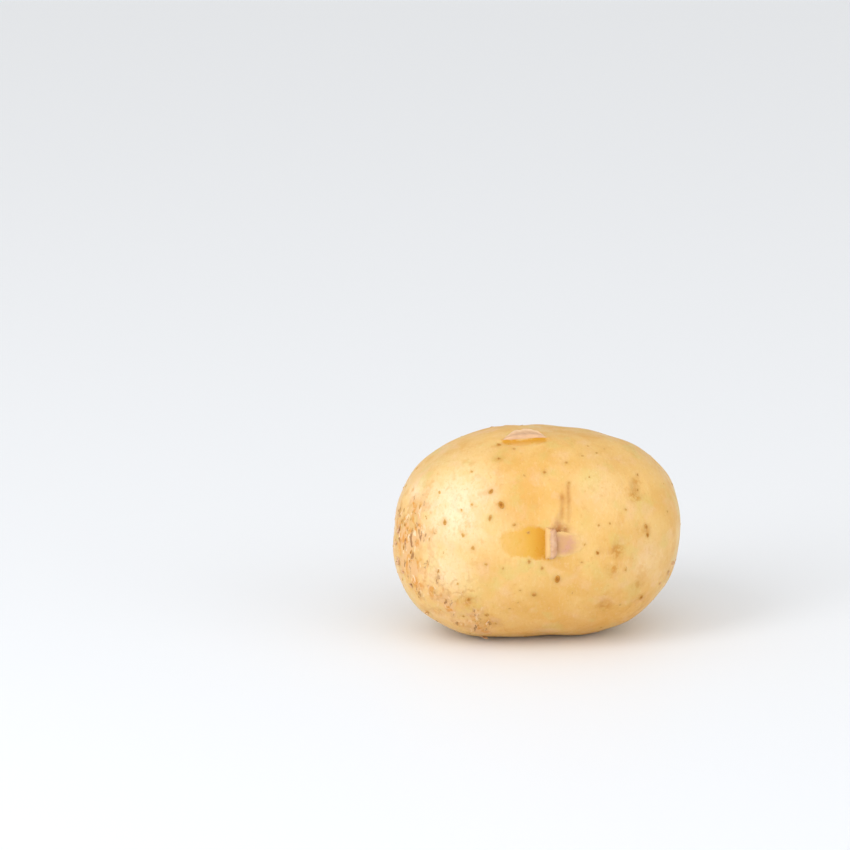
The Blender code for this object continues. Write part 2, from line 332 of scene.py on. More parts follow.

# %% [markdown]
# ## Where the skin differs
# Real skin isn't even: it is russet and cracked round the stem end, browner in the eyes,
# smudged, and missing where it tore. A painter would use a mask image. Here each mask is a
# number kept on every point of the mesh, worked out from distances to listed spots, and
# the shader adds fine noise to it so that its edge is ragged at a tenth of a millimetre.

# %% Listed spots on the skin: (along, turn, radius, strength)
SPOTS = {
    "russet": (
        (-0.0358, 8, 0.0092, 1.0), (-0.0342, 30, 0.0056, 0.9), (-0.0335, 343, 0.0070, 0.8),
        (-0.0378, 200, 0.0100, 0.9), (-0.0285, 330, 0.0070, 0.60), (-0.0235, 326, 0.0066, 0.65),
        (-0.0165, 314, 0.0062, 0.75), (0.0300, 160, 0.0080, 0.5), (-0.0100, 235, 0.0120, 0.6),
        (0.0120, 262, 0.0100, 0.4),
    ),
    # warm: a warmer gold; the large spots underneath, at turns 265 to 305, are painted shade
    "warm_and_painted_underside_shade": (
        (-0.0060, 34, 0.0075, 1.0), (-0.0060, 52, 0.0075, 0.8), (-0.0150, 108, 0.0100, 0.8),
        (0.0090, 104, 0.0120, 0.9), (0.0260, 112, 0.0100, 0.7), (0.0000, 300, 0.0170, 0.9),
        (0.0200, 305, 0.0140, 0.9), (0.0000, 265, 0.0250, 0.9), (-0.0170, 290, 0.0120, 0.5),
        (0.0260, 230, 0.0120, 0.6), (0.0030, 150, 0.0110, 0.7), (-0.0220, 130, 0.0080, 0.6),
    ),
    # pale: paler cork; the first two spots, at the stem end's front, are a painted sheen
    "pale_and_painted_sheen": (
        (-0.0235, 30, 0.0125, 1.0), (-0.0335, 52, 0.0042, 1.0), (-0.0250, 350, 0.0070, 0.8),
        (0.0300, 352, 0.0060, 0.4), (0.0160, 40, 0.0070, 0.35), (0.0150, 190, 0.0100, 0.7),
        (-0.0250, 250, 0.0080, 0.5), (0.0100, 128, 0.0090, 0.5),
    ),
    "smudge": (
        (0.0268, 38, 0.0022, 1.0), (0.0274, 50, 0.0015, 0.7), (0.0218, 2, 0.0023, 1.0),
        (0.0206, 351, 0.0019, 0.9), (0.0225, 20, 0.0012, 0.6), (0.0300, 14, 0.0013, 0.8),
        (0.0186, 324, 0.0024, 0.9), (0.0276, 335, 0.0022, 0.7), (-0.0187, 330, 0.0016, 0.9),
        (0.0283, 321, 0.0015, 0.8), (-0.0108, 58, 0.0020, 0.5), (-0.0115, 316, 0.0018, 0.6),
        (-0.0020, 12, 0.0030, 0.3), (0.0100, 200, 0.0030, 0.7), (-0.0180, 220, 0.0024, 0.8),
        (0.0250, 120, 0.0026, 0.7), (-0.0120, 135, 0.0022, 0.8), (0.0320, 250, 0.0026, 0.7),
    ),
    "green": (
        (0.0130, 20, 0.0030, 0.6), (0.0197, 349, 0.0022, 0.5), (-0.0250, 60, 0.0060, 0.4),
        (0.0187, 322, 0.0016, 0.5), (-0.0160, 340, 0.0050, 0.4), (0.0150, 100, 0.0050, 0.4),
        (-0.0040, 150, 0.0060, 0.4),
    ),
    # stain at eye A: brown dirt with the painted shade of its pit
    "pit_stain_and_painted_shade": (
        (0.0054, 14.0, 0.0020, 1.0), (0.0044, 12.5, 0.0013, 1.0), (0.0074, 15.5, 0.0014, 0.8),
    ),
    "net": (
        (-0.0253, 348, 0.0050, 0.8), (-0.0222, 337, 0.0062, 1.0), (-0.0263, 327, 0.0060, 0.9),
        (-0.0160, 322, 0.0050, 0.6), (0.0270, 312, 0.0050, 0.6), (-0.0100, 240, 0.0120, 1.0),
        (0.0140, 170, 0.0110, 0.8), (0.0330, 150, 0.0070, 0.9), (-0.0300, 190, 0.0100, 1.0),
    ),
}


# %% Masks from the spots, the tears and the eyes
TEAR_MARGIN = 0.001  # how far past a torn place its masks reach
FOLD_SHADE_HALFWAY, FOLD_SHADE_FADE = 0.0038, 0.0050  # behind the fold, where the painted shade of the fold is half gone, and the width of its fade
EYE_DARK_BELOW_BROW, EYE_DARK_WIDTH, EYE_DARK_LENGTH_SHARE = 0.0008, 0.0012, 1 / 3.2
DARKEST_EYE_DEPTH, SCAR_DARK_SHARE = 0.0010, 0.8


def spots_mask(points, spots):
    mask = np.zeros(len(points))
    for along, turn, radius, strength in spots:
        gap = np.linalg.norm(points - place(along, turn), axis=1)
        mask = np.maximum(mask, strength * np.exp(-((gap / radius) ** 2)))
    return mask


def bare_mask(points):
    """Millimetres inside the flesh that shows, which ends at the fold, and negative outside."""
    inside = []
    for tear in TEARS:
        forward, within, _ = inside_tear(points, tear)
        inside.append(np.minimum(within, -forward))
    return np.max(inside, axis=0) / MM


def tear_mask(points, shade):
    """shade(distance behind the fold, bare length) in each torn place, and 0 elsewhere."""
    mask = np.zeros(len(points))
    for tear in TEARS:
        forward, inside, _ = inside_tear(points, tear)
        mask = np.where(inside > -TEAR_MARGIN, shade(-forward, tear[5]), mask)
    return mask


# Browner in the eyes' pits, the more the deeper they are, and in the stem scar
def eye_mask(points):
    mask = np.zeros(len(points))
    for along, turn, depth, brow_length in EYES:
        forward, sideways, near = local(points, place(along, turn))
        pit = bell(forward + EYE_DARK_BELOW_BROW - BROW_BEND * sideways**2, EYE_DARK_WIDTH)
        pit *= bell(sideways, brow_length * EYE_DARK_LENGTH_SHARE)
        mask = np.maximum(mask, np.where(near, depth / DARKEST_EYE_DEPTH * pit, 0))
    scar = np.linalg.norm(points - place(*SCAR_PLACE), axis=1)
    return np.maximum(mask, bell(scar, SCAR_WIDTH * SCAR_DARK_SHARE))


def keep_on_points(made, name, values):
    made.data.attributes.new(name, "FLOAT", "POINT").data.foreach_set("value", np.asarray(values, np.float32))


# %% Keep the masks on the skin
for name, spots in SPOTS.items():
    keep_on_points(skin, name, spots_mask(skin_oval, spots))
deepest_crease = max(depth for *_, depth in CREASES)
for name, mask in {
    "bare": bare_mask(skin_oval),
    "far": tear_mask(skin_oval, lambda behind, length: np.clip(behind / length, 0, 1)),
    # painted shade of the fold on the flesh just behind it
    "deep": tear_mask(skin_oval, lambda behind, _: 1 - smooth_step(behind - FOLD_SHADE_HALFWAY, FOLD_SHADE_FADE)),
    "eye": eye_mask(skin_oval),
    "crease": -crease_height(skin_oval) / deepest_crease,
}.items():
    keep_on_points(skin, name, mask)
print("masks on the skin:", [kept.name for kept in skin.data.attributes if kept.data_type == "FLOAT"])

# %% [markdown]
# ## Specks
# A potato breathes through lenticels, which show as brown corky specks about a millimetre
# across, most of them round and a few drawn out round the girth. They could be painted, but
# they stand a little proud, so each is a low dome. The ones that face the viewer are listed one
# by one, and the rest are drawn at random with a fixed seed, kept apart from one another.

# %% Places of the specks
SEEN_SPECKS = (
    (-13.0, 37, 1.2, 0.8), (-10.1, 29, 1.5, 1.0), (-13.2, 22, 1.1, 0.6), (-6.5, 18, 1.1, 0.5),
    (-2.7, 14, 1.1, 0.6), (-2.5, 358, 0.9, 0.6), (-14.2, 356, 1.0, 0.4), (-9.6, 354, 0.7, 0.3),
    (1.1, 354, 0.9, 0.5), (5.3, 347, 1.5, 1.0), (-4.9, 341, 0.7, 0.4), (-1.1, 338, 1.4, 0.7),
    (16.4, 2, 0.9, 0.9), (16.7, 18, 0.8, 0.4), (19.7, 19, 0.9, 0.3), (7.8, 55, 1.0, 0.4),
    (12.3, 61, 1.2, 0.2), (16.4, 66, 1.0, 0.2), (1.8, 48, 1.2, 0.6), (-3.8, 46, 0.9, 0.2),
    (-10.8, 71, 1.3, 0.7), (-10.8, 58, 1.1, 0.6), (-18.3, 51, 0.8, 0.2), (-27.3, 41, 0.8, 0.1),
    (-18.2, 30, 0.9, 0.3), (-25.6, 20, 1.2, 0.6), (-20.6, 12, 1.0, 0.3), (-17.8, 5, 1.1, 0.5),
    (-21.6, 342, 0.8, 0.2), (-18.6, 333, 1.3, 0.8), (-13.8, 323, 1.3, 0.6), (-19.7, 320, 0.9, 0.4),
    (-11.4, 316, 0.9, 0.4), (12.0, 357, 0.9, 0.2), (12.9, 7, 0.7, 0.2), (14.2, 46, 0.7, 0.2),
    (8.5, 42, 1.0, 0.3), (14.0, 71, 0.9, 0.1), (18.6, 72, 0.9, 0.1), (9.5, 338, 0.8, 0.2),
    (-6.6, 66, 1.0, 0.3), (-7.7, 329, 0.9, 0.3), (29.8, 17, 1.2, 0.7), (30.3, 11, 1.0, 0.9),
    (28.3, 321, 1.2, 0.9), (24.1, 349, 1.0, 0.3), (24.1, 28, 0.8, 0.3), (27.6, 55, 0.8, 0.5),
    (27.7, 43, 0.9, 0.5), (-21.0, 27, 0.7, 0.1), (-5.5, 333, 0.7, 0.2), (22.6, 322, 0.8, 0.3),
)  # along in mm, turn, width in mm, darkness
SEEN_STREAKS = (
    (-37.0, 37, 0.45, 0.8), (-36.4, 19, 0.50, 1.0), (-34.5, 14, 0.45, 0.9), (-36.3, 355, 0.50, 1.0),
    (-34.5, 353, 0.55, 1.0), (-34.5, 345, 0.50, 0.8), (-32.5, 33, 0.40, 0.7), (-30.6, 24, 0.40, 0.7),
    (-31.7, 17, 0.35, 0.5), (-34.9, 24, 0.35, 0.6), (-33.4, 5, 0.35, 0.5), (-35.6, 8, 0.40, 0.7),
    (-33.0, 350, 0.35, 0.5), (-33.6, 28, 0.35, 0.6),
)

# %% Draw the other specks
# Widths are in mm, and a stretch is a speck's length over its width
SPECK_SEED = 21
SPECK_COUNT, SPECK_APART, SPECK_CHANCE = 110, 0.0042, 0.8
SPECK_WIDTHS, SPECK_STRETCHES, SPECK_DARKNESS = (0.5, 1.2), (0.9, 1.7), (1.2, 2.0)
STREAK_COUNT, STREAK_APART = 34, 0.0013
STREAK_WIDTHS, STREAK_STRETCHES, STREAK_DARKNESS = (0.25, 0.5), (2.0, 4.0), (0.2, 0.8)
SEEN_ABOVE, SEEN_BELOW, SEEN_HALF_LENGTH = 104, 300, 0.034  # the front, whose specks are placed
OFF_BARE_MM, OFF_FLOOR = 0.6, 0.0004  # how far they keep from bare flesh, and from Z = 0
TRIES_FOR_EACH = 40


def drawn_places(count, seed, wanted, apart, taken):
    """Oval points drawn evenly and kept apart, each with a chance given by wanted(points)."""
    draw = np.random.default_rng(seed)
    tries = on_oval(draw.normal(size=(count * TRIES_FOR_EACH, 3)))
    tries = tries[draw.uniform(size=len(tries)) < wanted(tries)]
    kept = list(taken)
    chosen = []
    for point in tries:
        if np.linalg.norm(np.array(kept) - point, axis=1).min() > apart:
            kept.append(point)
            chosen.append(point)
        if len(chosen) == count:
            break
    return np.array(chosen)


def clear_of_floor(points):
    """1 where a speck doesn't touch the surface that the potato lies on, and 0 elsewhere."""
    return (settled(raised(points))[:, 2] > OFF_FLOOR).astype(float)


def speck_chance(points):
    """None on the front, whose specks are listed, and none on bare flesh."""
    front = (turn_of(points) < SEEN_ABOVE) | (turn_of(points) > SEEN_BELOW)
    middle = np.abs(points[:, 0]) < SEEN_HALF_LENGTH
    none = (bare_mask(points) > -OFF_BARE_MM) | front & middle
    return np.where(none, 0.0, SPECK_CHANCE) * clear_of_floor(points)


def streak_chance(points):
    covered = bare_mask(points) < -OFF_BARE_MM
    return spots_mask(points, SPOTS["russet"]) ** 2 * covered * clear_of_floor(points)


# %% Gather the specks
seen = np.array([place(along * MM, turn) for along, turn, _, _ in SEEN_SPECKS])
seen_streaks = np.array([place(along * MM, turn) for along, turn, _, _ in SEEN_STREAKS])
drawn = drawn_places(SPECK_COUNT, SPECK_SEED, speck_chance, SPECK_APART, seen)
streaks = drawn_places(STREAK_COUNT, SPECK_SEED + 1, streak_chance, STREAK_APART, seen_streaks)
streaks = np.vstack((seen_streaks, streaks))
print("specks:", len(seen), "placed,", len(drawn), "drawn,", len(streaks), "streaks at the ends")

draw = np.random.default_rng(SPECK_SEED + 2)
speck_oval = np.vstack((seen, drawn, streaks))
speck_width = np.concatenate((
    [width for _, _, width, _ in SEEN_SPECKS],
    draw.uniform(*SPECK_WIDTHS, len(drawn)),
    [width for _, _, width, _ in SEEN_STREAKS],
    draw.uniform(*STREAK_WIDTHS, len(streaks) - len(seen_streaks)),
)) * MM
speck_stretch = np.concatenate((
    draw.uniform(*SPECK_STRETCHES, len(seen) + len(drawn)),
    draw.uniform(*STREAK_STRETCHES, len(streaks)),
))
speck_dark = np.concatenate((
    [dark for _, _, _, dark in SEEN_SPECKS],
    draw.beta(*SPECK_DARKNESS, len(drawn)),
    [dark for _, _, _, dark in SEEN_STREAKS],
    draw.uniform(*STREAK_DARKNESS, len(streaks) - len(seen_streaks)),
))

# %% [markdown]
# ## Growing the specks with Geometry Nodes
# One tree takes bare points and puts the same low dome on each of them, turned to the skin and
# scaled by numbers that the points carry. Doing it in a tree keeps the dome, its height and
# its roughness of outline as named inputs that can be changed at once for all of them.


# %% A helper for node trees
def add(tree, kind, values=(), links=(), **settings):
    """A node with its settings, its sockets' values and its links from other sockets."""
    node = tree.nodes.new(kind)
    for key, value in settings.items():
        setattr(node, key, value)
    for socket, value in dict(values).items():
        node.inputs[socket].default_value = value
    for socket, source in dict(links).items():
        tree.links.new(source, node.inputs[socket])
    return node


def new_geometry_tree(name, inputs):
    """A tree with a geometry socket each way and the named inputs (name: kind and value)."""
    tree = bpy.data.node_groups.new(name, "GeometryNodeTree")
    tree.interface.new_socket("Geometry", in_out="INPUT", socket_type="NodeSocketGeometry")
    tree.interface.new_socket("Geometry", in_out="OUTPUT", socket_type="NodeSocketGeometry")
    for label, (kind, value) in inputs.items():
        tree.interface.new_socket(label, in_out="INPUT", socket_type=kind).default_value = value
    return tree, add(tree, "NodeGroupInput").outputs


# %% From points to a plain mesh
def points_object(name, places, normals, **numbers):
    """A mesh of bare points that carry their normals and other numbers."""
    data = bpy.data.meshes.new(name)
    data.vertices.add(len(places))
    data.vertices.foreach_set("co", np.asarray(places, np.float32).ravel())
    holder = bpy.data.objects.new(name, data)
    bpy.context.scene.collection.objects.link(holder)
    facing = data.attributes.new("facing", "FLOAT_VECTOR", "POINT")
    facing.data.foreach_set("vector", np.asarray(normals, np.float32).ravel())
    for key, values in numbers.items():
        keep_on_points(holder, key, values)
    return holder


def grown(holder, tree, inputs):
    """The plain mesh that the tree makes from the points, with the modifier gone."""
    modifier = holder.modifiers.new("grow", "NODES")
    sockets = {item.name: item.identifier for item in tree.interface.items_tree if item.in_out == "INPUT"}
    modifier.node_group = tree
    for label, value in inputs.items():
        modifier[sockets[label]] = value
    graph = bpy.context.evaluated_depsgraph_get()
    data = bpy.data.meshes.new_from_object(holder.evaluated_get(graph))
    holder.modifiers.remove(modifier)
    name = holder.name
    bpy.data.objects.remove(holder)
    return finish_mesh(name, data)


# %% [markdown]
# ## Colours
# Hex colours are what a colour picker shows, and the shader wants linear light, so one
# function turns the first into the second.


# %% Colours and material helpers
def linear(hex_colour):
    """An sRGB hex colour as the shader's linear RGBA."""
    parts = [int(hex_colour[i : i + 2], 16) / 255 for i in (1, 3, 5)]
    return (*[c / 12.92 if c <= 0.04045 else ((c + 0.055) / 1.055) ** 2.4 for c in parts], 1.0)


def new_material(name):
    material = bpy.data.materials.new(name)
    material.use_nodes = True
    return material, material.node_tree, material.node_tree.nodes["Principled BSDF"]


# %% [markdown]
# ## Layering a finish
# A potato has no one colour. Stains of many sizes lie over one another, and each keeps to its
# own part of the tuber. A finish is therefore built as a painter glazes: noise patterns of real
# sizes say where a stain is strong, masks kept on the mesh say on which part it may show, and
# each stain is mixed over what lies under it. Relief is stacked in the same way.
# Some coats are painted light and shade, not stains: a sheen at the stem end's front, shade underneath, just
# behind the folds of torn skin, along the creases and in one eye pit, and a highlight and a shadow line along
# each rolled curl.


# %% Noise and masks
NOISE_WEAK, NOISE_STRONG = 0.3, 0.7  # noise from 0 to 1 seldom leaves this range


def sources(tree, rows, mask_names):
    """The place on the piece, noise for each row, and the masks kept on the piece.

    A row is its features' size in mm, detail, roughness, how many times longer its features
    are round the girth than along the potato, and distortion.
    """
    where = add(tree, "ShaderNodeTexCoord").outputs["Object"]
    noise = {}
    for name, (size_mm, detail, roughness, stretch, distortion) in rows.items():
        drawn_out = add(tree, "ShaderNodeMapping", {"Scale": (stretch, 1.0, 1.0)}, {"Vector": where})
        pattern = add(
            tree,
            "ShaderNodeTexNoise",
            {"Scale": 1 / (size_mm * MM), "Detail": detail, "Roughness": roughness, "Distortion": distortion},
            {"Vector": drawn_out.outputs["Vector"]},
        )
        noise[name] = pattern.outputs["Fac"]
    masks = [add(tree, "ShaderNodeAttribute", attribute_name=name).outputs["Fac"] for name in mask_names]
    return where, noise, dict(zip(mask_names, masks))


# %% Coats of colour
def coverage(tree, amount, *masks):
    """How much of a coat shows: amount times its masks.

    A mask is a socket, or a socket with the values at which it begins and is full, and what it
    begins from if that isn't 0.
    """
    share = {}
    for mask in masks:
        if isinstance(mask, tuple):
            source, begins, full, least = (*mask, 0.0)[:4]
            eased = add(
                tree,
                "ShaderNodeMapRange",
                {"From Min": begins, "From Max": full, "To Min": least},
                {"Value": source},
                interpolation_type="SMOOTHSTEP",
            )
            mask = eased.outputs["Result"]
        product = add(tree, "ShaderNodeMath", {0: amount}, {**share, 1: mask}, operation="MULTIPLY")
        share = {0: product.outputs[0]}
    return share[0]


MIX_SOCKETS = (6, 7)  # of a mix node: the colour where its factor is 0, and where it is 1


def painted(tree, colour, *coats):
    """colour with coats mixed over it; a coat is its colour, its amount and its masks.

    A colour is a hex colour or a socket.
    """
    for coat, amount, *masks in coats:
        values, links = {}, {0: coverage(tree, amount, *masks)}
        for socket, paint in zip(MIX_SOCKETS, (colour, coat)):
            if isinstance(paint, str):
                values[socket] = linear(paint)
            else:
                links[socket] = paint
        colour = add(tree, "ShaderNodeMix", values, links, data_type="RGBA").outputs[2]
    return colour


# %% Ragged edges and relief
def ranged(tree, noise, least, most, onto=None):
    """least where the noise is weak and most where it is strong, added onto a mask if given."""
    push = add(
        tree,
        "ShaderNodeMapRange",
        {"From Min": NOISE_WEAK, "From Max": NOISE_STRONG, "To Min": least, "To Max": most},
        {"Value": noise},
        interpolation_type="SMOOTHSTEP",
    ).outputs["Result"]
    if onto is None:
        return push
    return add(tree, "ShaderNodeMath", links={0: onto, 1: push}, operation="ADD").outputs[0]


def finished(tree, shader, colour, *reliefs):
    """Gives the shader its colour and its relief, layer over layer.

    A layer is a height from 0 to 1, its size in mm and its strength. A size below 0 sinks.
    """
    tree.links.new(colour, shader.inputs["Base Color"])
    under = {}
    for height, size_mm, strength in reliefs:
        layer = add(
            tree,
            "ShaderNodeBump",
            {"Distance": abs(size_mm) * MM, "Strength": strength},
            {"Height": height, **under},
            invert=size_mm < 0,
        )
        under = {"Normal": layer.outputs["Normal"]}
    tree.links.new(under["Normal"], shader.inputs["Normal"])


# %% [markdown]
# ## The skin's material
# The skin is periderm, a few layers of cork cells, washed and dried. It is thin enough for the
# yellow flesh to glow through it, which is why a potato looks soft: light goes in, spreads a
# few millimetres and comes out warm. Subsurface scattering gives that. Over it the cork has a
# faint waxy sheen, broken by russeting, scuffs and the finest wrinkles.

# %% Potato skin
SKIN_GOLD, SKIN_DEEP = "#E5BC74", "#DAA550"
# WARM_GOLD also paints shade underneath, and PALE_CREAM a sheen at the stem end's front
WARM_GOLD, PALE_CREAM = "#D99E3A", "#F6E6C6"
RUSSET_TAN, RUSSET_PINK, RUSSET_ORANGE = "#CF9E60", "#E2B688", "#D58E2C"
RUSSET_DARK, NET_BROWN = "#8E5A28", "#BE843C"
# FLESH_IN_FOLD_SHADE is the flesh in the painted shade just behind a fold
FLESH_YELLOW, FLESH_IN_FOLD_SHADE = "#DAA434", "#D0901E"
SMUDGE_ORANGE, HALO_BROWN = "#CA8C34", "#C58C3C"
GREEN_TINT, PINK_TINT = "#D0C070", "#E8BE92"
# CREASE_PAINTED_SHADE is painted shade along the creases; EYE_BROWN browns the eye pits
EYE_BROWN, CREASE_PAINTED_SHADE = "#A4601C", "#BC7A2E"
GLOW_DISTANCES = (0.0024, 0.0013, 0.0006)  # how far red, green and blue light spread
# Sizes in mm are those of real blotches, scurf and wrinkles, all but the grain's: cork cells are
# some 0.03 mm across, too fine to show, so the grain is drawn about ten times as coarse
SKIN_NOISE = {
    "broad": (11, 2, 0.5, 1.0, 0.0),
    "greenish": (7.3, 3, 0.5, 1.0, 0.0),
    "pinkish": (6.1, 3, 0.5, 1.0, 0.0),
    "patchy": (4, 4, 0.6, 1.0, 0.0),
    "broken": (1.6, 3, 0.6, 1.0, 0.0),
    "scurf": (1.3, 5, 0.7, 2.0, 0.0),
    "fine": (0.9, 4, 0.65, 1.0, 0.0),
    "grain": (0.35, 2, 0.5, 1.0, 0.0),
    "wrinkles": (2.2, 3, 0.6, 2.0, 0.0),
    "russet pink": (5, 2, 0.5, 1.0, 0.0),
    "russet orange": (3.4, 2, 0.5, 2.2, 0.0),
    "flecks": (2.6, 3, 0.6, 2.2, 0.6),
    "dashes": (4.6, 3, 0.6, 3.0, 0.0),
}
SKIN_MASKS = (
    "warm_and_painted_underside_shade", "pale_and_painted_sheen", "green", "smudge", "russet", "net", "halo", "eye", "crease", "pit_stain_and_painted_shade", "bare",
    "deep", "far",
)
NET_CELL, NET_WANDER_SIZE, NET_WANDER = 3.6, 2.0, 3.0  # mm
HALF = (0.5, 0.5, 0.5)  # the middle of a noise colour, taken off to push both ways


# %% Clean skin and netting
def clean_skin(tree, noise, on):
    """Gold skin, paler where its cork is thicker and with a painted sheen at the stem end's front, warmer
    where the flesh shows through and with painted shade underneath.
    """
    ragged = (noise["patchy"], 0.38, 0.62, 0.6)
    return painted(
        tree,
        SKIN_GOLD,
        (SKIN_DEEP, 0.5, (noise["broad"], 0.4, 0.65)),
        # the warm spots underneath are painted shade
        (WARM_GOLD, 0.85, on["warm_and_painted_underside_shade"], ragged),
        # the pale spots at the stem end's front are a painted sheen
        (PALE_CREAM, 0.85, on["pale_and_painted_sheen"], ragged),
        (GREEN_TINT, 0.5, on["green"], ragged),
        (SKIN_DEEP, 0.4, (noise["patchy"], 0.50, 0.70)),
        (GREEN_TINT, 0.35, (noise["greenish"], 0.52, 0.68)),
        (PINK_TINT, 0.35, (noise["pinkish"], 0.52, 0.68)),
        (SKIN_DEEP, 0.35, (noise["scurf"], 0.50, 0.72)),
        (PALE_CREAM, 0.15, (noise["scurf"], 0.46, 0.30)),
        (SMUDGE_ORANGE, 0.3, (noise["fine"], 0.58, 0.72)),
        (SMUDGE_ORANGE, 1.0, on["smudge"], (noise["broken"], 0.4, 0.58, 0.35)),
    )


def netting(tree, where):
    """Low on thin wandering lines, as skin cracks when the tuber grows too fast.

    The lines are the edges of cells, whose coordinates noise has pushed about.
    """
    wander = add(
        tree, "ShaderNodeTexNoise", {"Scale": 1 / (NET_WANDER_SIZE * MM), "Detail": 2.0}, {"Vector": where}
    )
    centred = add(
        tree, "ShaderNodeVectorMath", {1: HALF}, {0: wander.outputs["Color"]}, operation="SUBTRACT"
    )
    pushed = add(
        tree,
        "ShaderNodeVectorMath",
        {1: (NET_WANDER * MM,) * 3},
        {0: centred.outputs["Vector"], 2: where},
        operation="MULTIPLY_ADD",
    )
    cells = add(
        tree,
        "ShaderNodeTexVoronoi",
        {"Scale": 1 / (NET_CELL * MM)},
        {"Vector": pushed.outputs["Vector"]},
        feature="DISTANCE_TO_EDGE",
    )
    return cells.outputs["Distance"]


# %% All coats of the skin
def skin_material():
    material, tree, shader = new_material("potato_periderm_washed")
    where, noise, on = sources(tree, SKIN_NOISE, SKIN_MASKS)
    patchy, fine = noise["patchy"], noise["fine"]
    colour = clean_skin(tree, noise, on)

    # Cork that split and healed: pink and orange patches, pale flecks, dark dashes and netting
    russet = coverage(tree, 1.0, (ranged(tree, patchy, -0.3, 0.3, onto=on["russet"]), 0.15, 0.8))
    dashes = coverage(tree, 0.75, (noise["dashes"], 0.57, 0.64), (russet, 0.2, 0.8))
    lines = coverage(tree, 0.45, (netting(tree, where), 0.16, 0.0), on["net"])
    colour = painted(
        tree,
        colour,
        (RUSSET_TAN, 0.6, russet),
        (RUSSET_PINK, 0.6, russet, (noise["russet pink"], 0.42, 0.56)),
        (RUSSET_ORANGE, 0.75, russet, (noise["russet orange"], 0.52, 0.64)),
        (PALE_CREAM, 0.5, russet, (noise["flecks"], 0.56, 0.66)),
        (RUSSET_DARK, 1.0, dashes),
        (NET_BROWN, 1.0, lines, (patchy, 0.4, 0.55)),
    )

    # Halos round the specks, browner eye pits, painted shade along the creases, and at eye A a brown stain
    # with painted shade of its pit
    ragged = (fine, 0.3, 0.6, 0.5)
    colour = painted(
        tree,
        colour,
        (HALO_BROWN, 0.75, on["halo"]),
        (EYE_BROWN, 0.5, on["eye"], ragged),
        (CREASE_PAINTED_SHADE, 0.85, on["crease"], (patchy, 0.36, 0.6, 0.5)),
        (EYE_BROWN, 0.95, on["pit_stain_and_painted_shade"], ragged),
    )

    # Bare flesh: moist, smooth and a deeper yellow, darker still in the painted shade just behind the
    # fold, clearest by the fold and fading where the skin came away in shreds
    edge = ranged(tree, fine, -0.25, 0.25, onto=ranged(tree, patchy, -0.8, 0.4, onto=on["bare"]))
    flesh = coverage(tree, 1.0, (edge, -0.6, 0.8))
    # the flesh darkens to painted shade just behind the fold
    flesh_colour = painted(tree, FLESH_YELLOW, (FLESH_IN_FOLD_SHADE, 1.0, on["deep"]))
    colour = painted(tree, colour, (flesh_colour, 1.0, flesh, (on["far"], 1.0, 0.1, 0.4)))

    rough = ranged(tree, patchy, 0.32, 0.44)
    for mask, more in ((russet, 0.3), (flesh, -0.06)):
        changed = add(tree, "ShaderNodeMath", {1: more}, {0: mask, 2: rough}, operation="MULTIPLY_ADD")
        rough = changed.outputs[0]
    tree.links.new(rough, shader.inputs["Roughness"])

    finished(
        tree,
        shader,
        colour,
        (noise["grain"], 0.04, 0.3),
        (fine, 0.10, 0.4),
        (noise["wrinkles"], 0.25, 0.4),
        (coverage(tree, 1.0, russet, patchy), 0.25, 0.4),
        (dashes, -0.08, 0.4),
        (lines, -0.03, 0.3),
        (flesh, -0.05, 0.6),
    )
    for socket, value in {
        "IOR": 1.45,
        "Specular IOR Level": 0.36,
        "Subsurface Weight": 0.3,
        "Subsurface Radius": tuple(d / max(GLOW_DISTANCES) for d in GLOW_DISTANCES),
        "Subsurface Scale": max(GLOW_DISTANCES),
    }.items():
        shader.inputs[socket].default_value = value
    return material


# %% [markdown]
# ## The specks' material
# A lenticel is loose cork, matt and dry, dark in its middle where it has opened, and it fades
# into the skin at its rim. Old ones are dark and young ones faint, so each point carries a
# darkness of its own.


# %% Lenticel cork
CORK_DARK, CORK_FAINT, CORK_LIGHT = "#9A5C1A", "#D0A058", "#B87E34"
SPECK_NOISE = {"each": (0.8, 1, 0.5, 1.0, 0.0), "fine": (0.25, 3, 0.6, 1.0, 0.0)}


def speck_material():
    material, tree, shader = new_material("lenticel_cork")
    _, noise, on = sources(tree, SPECK_NOISE, ("dark", "rim"))
    around = painted(tree, SKIN_GOLD, (HALO_BROWN, 1.0, on["dark"]))
    colour = painted(
        tree,
        CORK_FAINT,
        (CORK_DARK, 1.0, on["dark"]),
        (CORK_LIGHT, 0.3, (noise["each"], 0.35, 0.65)),
        (around, 1.0, (ranged(tree, noise["fine"], -0.3, 0.3, onto=on["rim"]), 0.2, 0.9)),
    )
    finished(tree, shader, colour, (noise["fine"], 0.06, 0.6))
    shader.inputs["Roughness"].default_value = 0.75
    shader.inputs["Specular IOR Level"].default_value = 0.2
    return material


# %% A piece on each point
def ragged_points(tree, geometry, size_mm, amount_mm):
    """The geometry with its points pushed about by noise of the given size."""
    wobble = add(tree, "ShaderNodeTexNoise", {"Scale": 1 / (size_mm * MM), "Detail": 1.0})
    centred = add(
        tree, "ShaderNodeVectorMath", {1: HALF}, {0: wobble.outputs["Color"]}, operation="SUBTRACT"
    )
    amount = add(tree, "ShaderNodeMath", {1: MM}, {0: amount_mm}, operation="MULTIPLY").outputs[0]
    offset = add(
        tree, "ShaderNodeVectorMath", links={0: centred.outputs["Vector"], "Scale": amount}, operation="SCALE"
    )
    moved = add(
        tree, "GeometryNodeSetPosition", links={"Geometry": geometry, "Offset": offset.outputs["Vector"]}
    )
    return moved.outputs["Geometry"]


